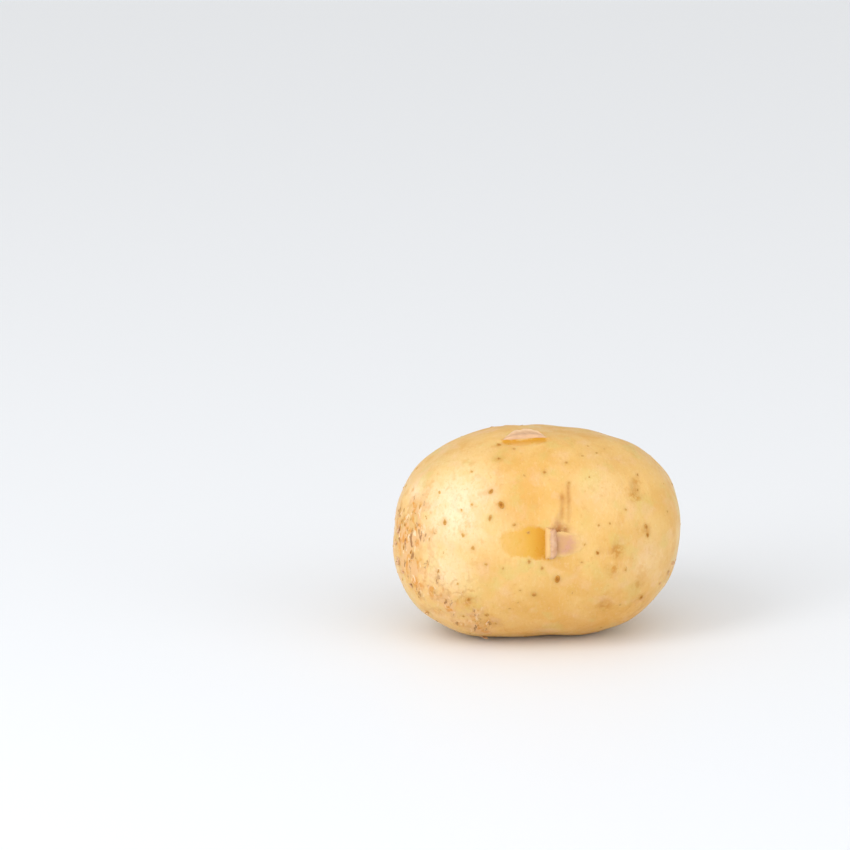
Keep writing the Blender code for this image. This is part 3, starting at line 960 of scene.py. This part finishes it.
def standing(tree):
    """The rotation that stands a piece on the skin, by the normal that its point carries."""
    facing = add(tree, "GeometryNodeInputNamedAttribute", {"Name": "facing"}, data_type="FLOAT_VECTOR")
    upright = add(
        tree, "FunctionNodeAlignRotationToVector", links={"Vector": facing.outputs["Attribute"]}, axis="Z"
    )
    return upright.outputs["Rotation"]


def planted(tree, given, piece, rotation, scale, spin, lumps_mm, material):
    """Ends the tree: the piece on each point, spun by chance, made uneven and given its material."""
    cloud = add(tree, "GeometryNodeMeshToPoints", links={"Mesh": given["Geometry"]})
    placed = add(
        tree,
        "GeometryNodeInstanceOnPoints",
        links={"Points": cloud.outputs["Points"], "Instance": piece, "Rotation": rotation, "Scale": scale},
    )
    chance = add(
        tree,
        "FunctionNodeRandomValue",
        {"Min": (0.0, 0.0, -spin), "Max": (0.0, 0.0, spin)},
        {"Seed": given["Seed"]},
        data_type="FLOAT_VECTOR",
    )
    turned = add(
        tree,
        "GeometryNodeRotateInstances",
        links={"Instances": placed.outputs["Instances"], "Rotation": chance.outputs["Value"]},
    )
    real = add(tree, "GeometryNodeRealizeInstances", links={"Geometry": turned.outputs["Instances"]})
    uneven = ragged_points(tree, real.outputs["Geometry"], lumps_mm, given["Raggedness"])
    covered = add(tree, "GeometryNodeSetMaterial", {"Material": material}, {"Geometry": uneven})
    add(tree, "NodeGroupOutput", links={"Geometry": covered.outputs["Geometry"]})
    return tree


# %% The tree that grows specks
SPECK_SPIN = 0.5  # radians off the girth's direction, at most
SPECK_LUMPS = 0.5  # mm across


def speck_tree(material):
    """A dome on each point: turned to the skin, long way round the girth, then made uneven.

    Its attribute rim runs from 0 in the middle to 1 at the edge.
    """
    tree, given = new_geometry_tree(
        "grow_specks",
        {
            "Height share": ("NodeSocketFloat", 0.2),
            "Raggedness": ("NodeSocketFloat", 0.2),
            "Seed": ("NodeSocketInt", 1),
        },
    )
    ball = add(tree, "GeometryNodeMeshUVSphere", {"Segments": 8, "Rings": 6, "Radius": 0.5})
    flat = add(
        tree,
        "ShaderNodeVectorMath",
        {1: (2.0, 2.0, 0.0)},
        {0: add(tree, "GeometryNodeInputPosition").outputs["Position"]},
        operation="MULTIPLY",
    )
    from_middle = add(tree, "ShaderNodeVectorMath", links={0: flat.outputs["Vector"]}, operation="LENGTH")
    dome = add(
        tree,
        "GeometryNodeStoreNamedAttribute",
        {"Name": "rim"},
        {"Geometry": ball.outputs["Mesh"], "Value": from_middle.outputs["Value"]},
        data_type="FLOAT",
        domain="POINT",
    )
    girth = add(
        tree,
        "FunctionNodeAlignRotationToVector",
        {"Vector": (1.0, 0.0, 0.0)},
        {"Rotation": standing(tree)},
        axis="Y",
        pivot_axis="Z",
    ).outputs["Rotation"]
    wide, stretch = [
        add(tree, "GeometryNodeInputNamedAttribute", {"Name": name}, data_type="FLOAT").outputs["Attribute"]
        for name in ("width", "stretch")
    ]
    long = add(tree, "ShaderNodeMath", links={0: wide, 1: stretch}, operation="MULTIPLY").outputs[0]
    high = add(tree, "ShaderNodeMath", links={0: wide, 1: given["Height share"]}, operation="MULTIPLY")
    scale = add(tree, "ShaderNodeCombineXYZ", links={"X": long, "Y": wide, "Z": high.outputs[0]}).outputs[0]
    piece = dome.outputs["Geometry"]
    return planted(tree, given, piece, girth, scale, SPECK_SPIN, SPECK_LUMPS, material)


# %% Grow the specks
def on_skin(oval_points):
    """Places on the settled skin over oval points, with the skin's normals."""
    found = [skin_tree.find_nearest(Vector(p)) for p in settled(raised(oval_points))]
    return np.array([hit[0] for hit in found]), np.array([hit[1] for hit in found])


speck_places, speck_normals = on_skin(speck_oval)
specks = grown(
    points_object(
        "lenticels", speck_places, speck_normals, width=speck_width, stretch=speck_stretch, dark=speck_dark
    ),
    speck_tree(speck_material()),
    {"Height share": 0.16, "Raggedness": 0.42, "Seed": SPECK_SEED},
)
print("speck triangles:", len(specks.data.polygons))

# %% [markdown]
# ## Halos
# The skin round a speck is stained a little, and fades into the clean skin within a
# millimetre. The distance from each point of the skin to its nearest speck gives that.


# %% Stain the skin round the specks
HALO_REACH = 0.8  # in speck widths


def halo_mask(places):
    tree = KDTree(len(places))
    for i, point in enumerate(places):
        tree.insert(point, i)
    tree.balance()
    mask = np.zeros(len(skin.data.vertices))
    for i, vertex in enumerate(skin.data.vertices):
        _, nearest, gap = tree.find(vertex.co)
        mask[i] = speck_dark[nearest] * math.exp(-((gap / (HALO_REACH * speck_width[nearest])) ** 2))
    return mask


keep_on_points(skin, "halo", halo_mask(speck_places))
skin.data.materials.append(skin_material())


# %% [markdown]
# ## Curls of torn skin
# Where a washer or a digger caught the skin, it tore free of the flesh, folded back and dried.
# What shows is its inner side: pale, papery and slightly pink. Cloth simulation could fold a
# strip, but the strip is held at its root and stuck down by juice, so its shape is simple: a
# cross-section that rises over the fold and rolls under, or lies back, swept along the fold
# with a ragged edge.

# %% Sizes of the curls
CURL_ROWS, CURL_COLUMNS = 44, 40
CURL_THICKNESS = 0.00014
CURL_SEED = 8
CURL_RAGGED_END, CURL_RAGGED_SIDES, CURL_RAGGED_HEIGHT = 0.09, 0.00025, 0.10
CURL_ENDS_LOWER, CURL_TIP_NARROWER, CURL_LUMPS = 0.75, 0.10, 0.00010
CORNER_ROUNDS = 6
# Cross-sections in mm: (ahead of the fold, above the skin)
ROLLED = (
    (-1.05, -0.35), (-0.85, 0.10), (-0.66, 0.55), (-0.35, 0.94), (0.05, 1.06), (0.36, 0.86),
    (0.55, 0.80), (0.80, 0.98), (1.25, 1.18), (1.75, 1.06), (2.15, 0.70), (2.20, 0.36),
    (1.95, 0.20), (1.75, 0.30),
)
LAID_BACK = (
    (-0.60, -0.35), (-0.40, 0.20), (-0.05, 0.82), (0.45, 1.00), (1.00, 0.88), (1.80, 0.62),
    (2.80, 0.52), (3.50, 0.64), (4.00, 0.82), (4.25, 0.96),
)
SECTIONS = {"front": ROLLED, "top": LAID_BACK, "back": ROLLED, "stem": ROLLED}
# How far a curl's reach is cut back at its ends, and how late that starts
ROUNDING = {"front": (0.25, 6), "top": (0.85, 2.4), "back": (0.5, 4), "stem": (0.6, 3)}


# %% Ragged lines, smooth sections and thin sheets
def crinkle(count, draw, waves):
    """A ragged line of count numbers about 0, made of a few waves."""
    t = np.linspace(0, 1, count)
    line = np.zeros(count)
    for k in range(1, waves + 1):
        line += draw.normal() / k**0.7 * np.sin(2 * math.pi * (k * t + draw.uniform()))
    return line / np.abs(line).max()


def smooth_section(section):
    """The cross-section in CURL_ROWS even steps, with its corners rounded."""
    points = np.array(section)
    steps = np.concatenate(([0], np.cumsum(np.linalg.norm(np.diff(points, axis=0), axis=1))))
    fine = np.linspace(0, steps[-1], CURL_ROWS)
    line = np.column_stack([np.interp(fine, steps, points[:, k]) for k in (0, 1)])
    for _ in range(CORNER_ROUNDS):
        line[1:-1] = (line[:-2] + 2 * line[1:-1] + line[2:]) / 4
    return line * MM


def sheet_mesh(name, rows):
    """A mesh of quads between rows of points."""
    columns = len(rows[0])
    quads = [
        (r * columns + c, r * columns + c + 1, (r + 1) * columns + c + 1, (r + 1) * columns + c)
        for r in range(len(rows) - 1)
        for c in range(columns - 1)
    ]
    data = bpy.data.meshes.new(name)
    data.from_pydata(np.array(rows).reshape(-1, 3).tolist(), [], quads)
    return finish_mesh(name, data)


def thicken(made, thickness):
    wall = made.modifiers.new("thickness", "SOLIDIFY")
    wall.thickness = thickness
    wall.offset = 0.0


# %% Sweep the sections along the folds
def curl(tear, draw):
    """The strip over the fold: its height and reach shrink towards both of its ends."""
    name, along, turn, way, width, _, _, _ = tear
    centre = place(along, turn)
    forward, sideways, _ = axes_at(centre, way)
    cut, squareness = ROUNDING[name]
    spread = np.linspace(-1, 1, CURL_COLUMNS)
    round_off = np.abs(spread) ** squareness
    reach = 1 - cut * round_off + CURL_RAGGED_END * crinkle(CURL_COLUMNS, draw, 9)
    lumps = crinkle(CURL_COLUMNS, draw, 7)
    rise = 1 - CURL_ENDS_LOWER * round_off**2
    rise *= 1 + CURL_RAGGED_HEIGHT * crinkle(CURL_COLUMNS, draw, 5)
    edge_left, edge_right = crinkle(CURL_ROWS, draw, 7), crinkle(CURL_ROWS, draw, 7)
    section = smooth_section(SECTIONS[name])
    rows, shares = [], []
    for row, (ahead, above) in enumerate(section):
        share = row / (CURL_ROWS - 1)
        ragged = np.where(spread < 0, edge_left[row], edge_right[row]) * np.abs(spread) ** 3
        across = spread * width / 2 * (0.99 - CURL_TIP_NARROWER * share) + CURL_RAGGED_SIDES * ragged
        ahead_here = ahead * np.where(ahead > 0, reach, 1.0)
        flat = centre + ahead_here[:, None] * forward + across[:, None] * sideways
        height = above * np.where(above > 0, rise, 1.0)
        height += CURL_LUMPS * lumps * share * np.sin(9 * share + 4 * spread)
        rows.append(settled(raised(on_oval(flat), height, torn=False)))
        shares += [share] * CURL_COLUMNS
    made = sheet_mesh(f"torn_skin_{name}", rows)
    keep_on_points(made, "share", shares)
    thicken(made, CURL_THICKNESS)
    return made


draw = np.random.default_rng(CURL_SEED)
curls = [curl(tear, draw) for tear in TEARS]
print("curls:", [made.name for made in curls])

# %% [markdown]
# ## Skin stuck down beyond a curl
# The end of the torn strip is the thinnest. It has dried flat onto the skin beyond the curl,
# as a papery patch with a wandering edge that has come loose in places.

# %% Build the stuck patches
PATCH_ROWS, PATCH_COLUMNS = 36, 32
PATCH_THICKNESS = 0.00004
PATCH_TIP_ROUNDING, PATCH_TIP_NARROWER = 0.80, 0.12
PATCH_RAGGED_TIP, PATCH_RAGGED_SIDES = 0.05, 0.04
PATCH_HEIGHT_MM, PATCH_LUMPS_MM = 0.07, 0.03
RIM_DIP_MM, RIM_LUMPS_MM = 0.11, 0.10  # the rim is stuck down, and stands up where it is loose
# Tear name: (start, end, half width, shift sideways) from the middle of the fold
PATCHES = {"front": (0.0015, 0.0100, 0.0036, 0.0003), "back": (0.0015, 0.0070, 0.0030, 0.0)}


def stuck_patch(tear, draw):
    name, along, turn, way, _, _, _, _ = tear
    start, end, half_width, shift = PATCHES[name]
    centre = place(along, turn)
    forward, sideways, _ = axes_at(centre, way)
    spread = np.linspace(-1, 1, PATCH_COLUMNS)
    side = crinkle(PATCH_ROWS, draw, 8)
    tip = np.sqrt(1 - PATCH_TIP_ROUNDING * spread**2)
    tip += PATCH_RAGGED_TIP * crinkle(PATCH_COLUMNS, draw, 6)
    lumps = crinkle(PATCH_COLUMNS, draw, 5)
    rows, shares = [], []
    for row, share in enumerate(np.linspace(0, 1, PATCH_ROWS)):
        narrowing = 1 - PATCH_TIP_NARROWER * share**3 + PATCH_RAGGED_SIDES * side[row]
        across = shift + spread * half_width * narrowing
        ahead = start + (end - start) * share * tip
        flat = centre + ahead[:, None] * forward + across[:, None] * sideways
        rim = np.maximum(np.abs(spread), share) ** 10
        height = PATCH_HEIGHT_MM + PATCH_LUMPS_MM * lumps * np.sin(9 * share + 3 * spread)
        height -= rim * (RIM_DIP_MM - RIM_LUMPS_MM * lumps)
        rows.append(settled(raised(on_oval(flat), height * MM, torn=False)))
        shares += list(np.maximum(np.abs(spread), share))
    made = sheet_mesh(f"stuck_skin_{name}", rows)
    keep_on_points(made, "share", shares)
    thicken(made, PATCH_THICKNESS)
    return made


patches = [stuck_patch(tear, draw) for tear in TEARS if tear[0] in PATCHES]
print("stuck patches:", [made.name for made in patches])

# %% [markdown]
# ## The torn skin's materials
# Dried torn skin is a film: matt, a little pink, and so thin that light passes through it.
# Where it is stuck down, the gold skin under it shows through, so its colour lies between.
# On a rolled curl a painted highlight runs along the crest of the fold and a painted shadow
# line along the valley past it.


# %% Torn skin's inner side
# CREST_PAINTED_HIGHLIGHT is a painted highlight on a curl's crest; INNER_BROWN is brown on torn edges and
# flecks, and also the painted shadow line in the valley
INNER_LILAC, INNER_PINK, CREST_PAINTED_HIGHLIGHT, INNER_BROWN = "#D2A884", "#C99870", "#E2B672", "#A87440"
LAID_PEACH, LAID_PALE, FLAKE_TAN = "#DCB28A", "#E8CBA4", "#D8A870"
FILM_TAN, FILM_PINK = "#CE9C6A", "#CE987A"
CREST_END = 0.42  # share of the cross-section from the root to the valley past the fold
TORN_NOISE = {"patchy": (2.5, 4, 0.6, 1.0, 0.0), "fine": (0.5, 4, 0.65, 1.0, 0.0)}


def torn_material(name, base, other, edge_colour, edge_start, edge_amount=0.6, paint_fold_light_and_shade=False):
    material, tree, shader = new_material(name)
    _, noise, on = sources(tree, TORN_NOISE, ("share",))
    patchy, fine = noise["patchy"], noise["fine"]
    share = ranged(tree, fine, -0.06, 0.06, onto=on["share"])
    colour = painted(
        tree, base, (other, 1.0, (patchy, 0.4, 0.62)), (INNER_BROWN, 0.35, (fine, 0.56, 0.72))
    )
    # a painted highlight along the crest of the fold, and a painted shadow line in the valley just past it
    if paint_fold_light_and_shade:
        painted_crest_highlight = coverage(tree, 0.9, (share, CREST_END + 0.04, CREST_END))
        painted_valley_shadow = coverage(tree, 0.5, (share, CREST_END, CREST_END + 0.03), painted_crest_highlight)
        colour = painted(tree, colour, (CREST_PAINTED_HIGHLIGHT, 1.0, painted_crest_highlight), (INNER_BROWN, 1.0, painted_valley_shadow))
    colour = painted(tree, colour, (edge_colour, edge_amount, (share, edge_start, 1.0)))
    tree.links.new(ranged(tree, patchy, 0.42, 0.6), shader.inputs["Roughness"])
    finished(tree, shader, colour, (patchy, 0.3, 0.5), (fine, 0.12, 0.6))
    return material


inner_side = torn_material(
    "potato_skin_inner_side", INNER_LILAC, INNER_PINK, INNER_BROWN, 0.85, paint_fold_light_and_shade=True
)
stuck_film = torn_material("potato_skin_film_stuck_down", FILM_TAN, FILM_PINK, SKIN_GOLD, 0.5, 0.9)
laid_side = torn_material("potato_skin_inner_side_laid_back", LAID_PEACH, INNER_LILAC, LAID_PALE, 0.7)
for made, tear in zip(curls, TEARS):
    made.data.materials.append(laid_side if SECTIONS[tear[0]] is LAID_BACK else inner_side)
for made in patches:
    made.data.materials.append(stuck_film)

# %% [markdown]
# ## Flakes of loose skin
# Round the stem end and at a few scuffs the skin has dried and lifted in chips of a millimetre
# or two. They break the outline, so they are thin curved sheets and not paint. One small sheet
# is bent, rounded and repeated by a tree, since all chips are alike but for size and lift.

# %% Places and sizes of the flakes
SEEN_FLAKES = (
    (-37.9, 14, 2.3, 0.16), (-38.3, 352, 1.6, 0.20), (-38.1, 31, 1.3, 0.16), (-37.4, 331, 2.4, 0.28),
    (-35.9, 327, 1.5, 0.24), (-33.2, 325, 1.8, 0.20), (37.5, 323, 2.0, 0.24), (36.2, 320, 1.5, 0.20),
    (33.8, 319, 1.2, 0.16), (-14.5, 295, 2.2, 0.26), (-28.6, 308, 1.5, 0.20),
)  # along in mm, turn, length in mm, lift as a share of the length
FLAKE_COUNT, FLAKE_APART, FLAKE_SEED = 16, 0.0030, 31
FLAKE_LENGTHS, FLAKE_WIDTH_SHARES, FLAKE_LIFTS = (0.8, 2.2), (0.40, 0.95), (0.10, 0.32)
FLAKE_THICKNESS = 0.00009
FLAKE_LUMPS = 0.7  # mm across
FLAKE_FROM, FLAKE_TO = 100, 300  # turns between which they are drawn and not placed


# %% The tree that grows flakes
def flake_tree(material):
    """A bent, rounded sheet on each point, turned any way on the skin and made uneven."""
    tree, given = new_geometry_tree(
        "grow_flakes",
        {
            "Corner rounding": ("NodeSocketFloat", 1.0),
            "Raggedness": ("NodeSocketFloat", 0.3),
            "Seed": ("NodeSocketInt", 1),
        },
    )
    sheet = add(
        tree, "GeometryNodeMeshGrid", {"Size X": 1.0, "Size Y": 1.0, "Vertices X": 9, "Vertices Y": 8}
    )
    parts = add(
        tree,
        "ShaderNodeSeparateXYZ",
        links={"Vector": add(tree, "GeometryNodeInputPosition").outputs["Position"]},
    )
    x, y = parts.outputs["X"], parts.outputs["Y"]
    rounding = given["Corner rounding"]
    x_squared = add(tree, "ShaderNodeMath", links={0: x, 1: x}, operation="MULTIPLY").outputs[0]
    y_squared = add(tree, "ShaderNodeMath", links={0: y, 1: y}, operation="MULTIPLY").outputs[0]
    narrowed = add(tree, "ShaderNodeMath", links={0: x_squared, 1: rounding}, operation="MULTIPLY")
    shortened = add(tree, "ShaderNodeMath", links={0: y_squared, 1: rounding}, operation="MULTIPLY")
    half_wide = add(tree, "ShaderNodeMath", {0: 0.8}, {1: narrowed.outputs[0]}, operation="SUBTRACT")
    half_long = add(tree, "ShaderNodeMath", {0: 1.0}, {1: shortened.outputs[0]}, operation="SUBTRACT")
    along = add(tree, "ShaderNodeMath", links={0: x, 1: half_long.outputs[0]}, operation="MULTIPLY")
    across = add(tree, "ShaderNodeMath", links={0: y, 1: half_wide.outputs[0]}, operation="MULTIPLY")
    from_root = add(tree, "ShaderNodeMath", {1: 0.5}, {0: x}, operation="ADD").outputs[0]
    rise = add(tree, "ShaderNodeMath", links={0: from_root, 1: from_root}, operation="MULTIPLY")
    bent = add(
        tree,
        "ShaderNodeCombineXYZ",
        links={"X": along.outputs[0], "Y": across.outputs[0], "Z": rise.outputs[0]},
    )
    chip = add(
        tree,
        "GeometryNodeSetPosition",
        links={"Geometry": sheet.outputs["Mesh"], "Position": bent.outputs["Vector"]},
    )
    long, wide, lift = [
        add(tree, "GeometryNodeInputNamedAttribute", {"Name": name}, data_type="FLOAT").outputs["Attribute"]
        for name in ("length", "width", "lift")
    ]
    high = add(tree, "ShaderNodeMath", links={0: long, 1: lift}, operation="MULTIPLY").outputs[0]
    scale = add(tree, "ShaderNodeCombineXYZ", links={"X": long, "Y": wide, "Z": high}).outputs[0]
    piece = chip.outputs["Geometry"]
    return planted(tree, given, piece, standing(tree), scale, math.pi, FLAKE_LUMPS, material)


# %% Grow the flakes
def flake_chance(points):
    hidden = (turn_of(points) > FLAKE_FROM) & (turn_of(points) < FLAKE_TO)
    return spots_mask(points, SPOTS["russet"]) ** 2 * hidden * clear_of_floor(points)


flake_skin = torn_material("loose_skin_flake", FLAKE_TAN, LAID_PEACH, INNER_BROWN, 0.9)
seen_flakes = np.array([place(along * MM, turn) for along, turn, _, _ in SEEN_FLAKES])
drawn_flakes = drawn_places(FLAKE_COUNT, FLAKE_SEED, flake_chance, FLAKE_APART, seen_flakes)
flake_places, flake_normals = on_skin(np.vstack((seen_flakes, drawn_flakes)))
flake_length = np.concatenate((
    [length for _, _, length, _ in SEEN_FLAKES], draw.uniform(*FLAKE_LENGTHS, len(drawn_flakes))
)) * MM
flake_lift = np.concatenate((
    [lift for _, _, _, lift in SEEN_FLAKES], draw.uniform(*FLAKE_LIFTS, len(drawn_flakes))
))
flake_width = flake_length * draw.uniform(*FLAKE_WIDTH_SHARES, len(flake_length))
flakes = grown(
    points_object(
        "skin_flakes",
        flake_places,
        flake_normals,
        length=flake_length,
        width=flake_width,
        lift=flake_lift,
    ),
    flake_tree(flake_skin),
    {"Corner rounding": 0.45, "Raggedness": 1.5, "Seed": FLAKE_SEED},
)
thicken(flakes, FLAKE_THICKNESS)
print("flakes:", len(flake_places))

# %% [markdown]
# ## Hang the pieces on the solid
# Every piece rides on the solid's one body, and the skin stands for the whole solid.

# %% Ride and replace
for piece in [skin, specks, flakes, *curls, *patches]:
    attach(piece, "root")
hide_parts("potato")

# %% [markdown]
# ## Surface and light
# The potato lies on a plain pale surface in a bright white room. A tall soft box on the left
# makes the broad sheen across the stem end, with a painted sheen in the skin's colour there.
# Two weaker ones and the room itself, whose white comes from every side, fill the shadows, as a
# photographer's tent would.

# %% Sizes of the stage
PHOTO_SIDE = 850  # in pixels, as the potato's place in the next line
POTATO_LEFT, POTATO_RIGHT, POTATO_TOP, POTATO_FOOT = 393.0, 680.5, 424.0, 637.0
CAMERA_DISTANCE = 3.0
CAMERA_ELEVATION = 16.1
SENSOR = 36.0
ROOM_TINTS = ("#FAFAFA", "#D3CFC6")  # in front of the potato and behind it
FLOOR_SIDE, SHEET_WHITE = 12.0, "#EFF3FA"
MIDDLE = Vector((0, 0, 0.029))
# Name: place in metres, size in metres, watts
LAMPS = {
    "strip_left": ((-0.76, -0.62, 0.53), (0.42, 1.2), 5.8),
    "sky_front": ((0.1, -0.8, 1.1), (1.6, 1.2), 1.8),
    "fill_right": ((0.9, -0.5, 0.4), (0.8, 0.8), 2.0),
}


# %% Room, surface and soft boxes
def white_room():
    world = bpy.data.worlds.new("white_room")
    bpy.context.scene.world = world
    world.use_nodes = True
    tree = world.node_tree
    way = add(tree, "ShaderNodeTexCoord").outputs["Generated"]
    back = add(tree, "ShaderNodeSeparateXYZ", links={"Vector": way}).outputs["Y"]
    background = tree.nodes["Background"]
    front_tint, back_tint = ROOM_TINTS
    tint = painted(tree, front_tint, (back_tint, 1.0, (back, -0.8, 0.8)))
    tree.links.new(tint, background.inputs["Color"])
    bpy.context.scene.view_settings.view_transform = "Standard"


def pale_surface():
    """Frosted acrylic sheet: it takes a soft shadow and hardly mirrors the potato."""
    bpy.ops.mesh.primitive_plane_add(size=FLOOR_SIDE)
    floor = bpy.context.object
    floor.name = "pale_surface"
    material, _, shader = new_material("white_acrylic_sheet")
    shader.inputs["Base Color"].default_value = linear(SHEET_WHITE)
    shader.inputs["Roughness"].default_value = 0.5
    shader.inputs["Specular IOR Level"].default_value = 0.15
    floor.data.materials.append(material)


def soft_box(name, place_m, size, watts):
    light = bpy.data.lights.new(name, "AREA")
    light.shape = "RECTANGLE"
    light.size, light.size_y = size
    light.energy = watts
    lamp = bpy.data.objects.new(name, light)
    bpy.context.scene.collection.objects.link(lamp)
    lamp.location = place_m
    lamp.rotation_euler = (MIDDLE - Vector(place_m)).to_track_quat("-Z", "Y").to_euler()


# %% Put up the room, the surface and the lamps
white_room()
pale_surface()
for name, (place_m, size, watts) in LAMPS.items():
    soft_box(name, place_m, size, watts)
print("lamps:", list(LAMPS))

# %% [markdown]
# ## The photograph's view
# The camera stands three metres off with a very long lens, which keeps the potato's front from
# looking swollen. Its aim and its lens are worked out so that the potato fills the same part of
# the square picture as in the photograph: project, compare, correct, until nothing moves.

# %% Camera
FIRST_AIM, FIRST_LENS, FIT_ROUNDS = (0.0, 0.0, 0.03), 450.0, 20


def camera_axes():
    """Unit vectors from the potato to the camera, to the picture's right and to its top."""
    tilt = math.radians(CAMERA_ELEVATION)
    back = np.array((0.0, -math.cos(tilt), math.sin(tilt)))
    return back, np.array((1.0, 0.0, 0.0)), np.array((0.0, math.sin(tilt), math.cos(tilt)))


def picture_box(points, aim, lens):
    """(left, right, top, foot) of the points in the picture, in pixels."""
    back, right, up = camera_axes()
    offset = points - (aim + back * CAMERA_DISTANCE)
    scale = lens / SENSOR * PHOTO_SIDE / -(offset @ back)
    x = PHOTO_SIDE / 2 + offset @ right * scale
    y = PHOTO_SIDE / 2 - offset @ up * scale
    return x.min(), x.max(), y.min(), y.max()


# %% Fit the camera
def fitted_camera(points):
    """The aim and the lens that put the potato's box where it is in the photograph."""
    aim, lens = np.array(FIRST_AIM), FIRST_LENS
    _, right, up = camera_axes()
    for _ in range(FIT_ROUNDS):
        x0, x1, y0, y1 = picture_box(points, aim, lens)
        lens *= (POTATO_RIGHT - POTATO_LEFT) / (x1 - x0)
        metres = CAMERA_DISTANCE * SENSOR / (lens * PHOTO_SIDE)
        aim = aim + right * metres * ((x0 + x1) - (POTATO_LEFT + POTATO_RIGHT)) / 2
        aim = aim - up * metres * ((y0 + y1) - (POTATO_TOP + POTATO_FOOT)) / 2
    print("camera lens, mm:", round(lens, 2), "box, px:", np.round(picture_box(points, aim, lens), 1))
    return aim, lens


def add_camera():
    points = np.array([vertex.co for vertex in skin.data.vertices])
    aim, lens = fitted_camera(points)
    data = bpy.data.cameras.new("camera")
    data.sensor_width = SENSOR
    data.lens = lens
    camera = bpy.data.objects.new("camera", data)
    bpy.context.scene.collection.objects.link(camera)
    back = Vector(camera_axes()[0])
    camera.location = Vector(aim) + back * CAMERA_DISTANCE
    camera.rotation_euler = back.to_track_quat("Z", "Y").to_euler()
    bpy.context.scene.camera = camera


add_camera()
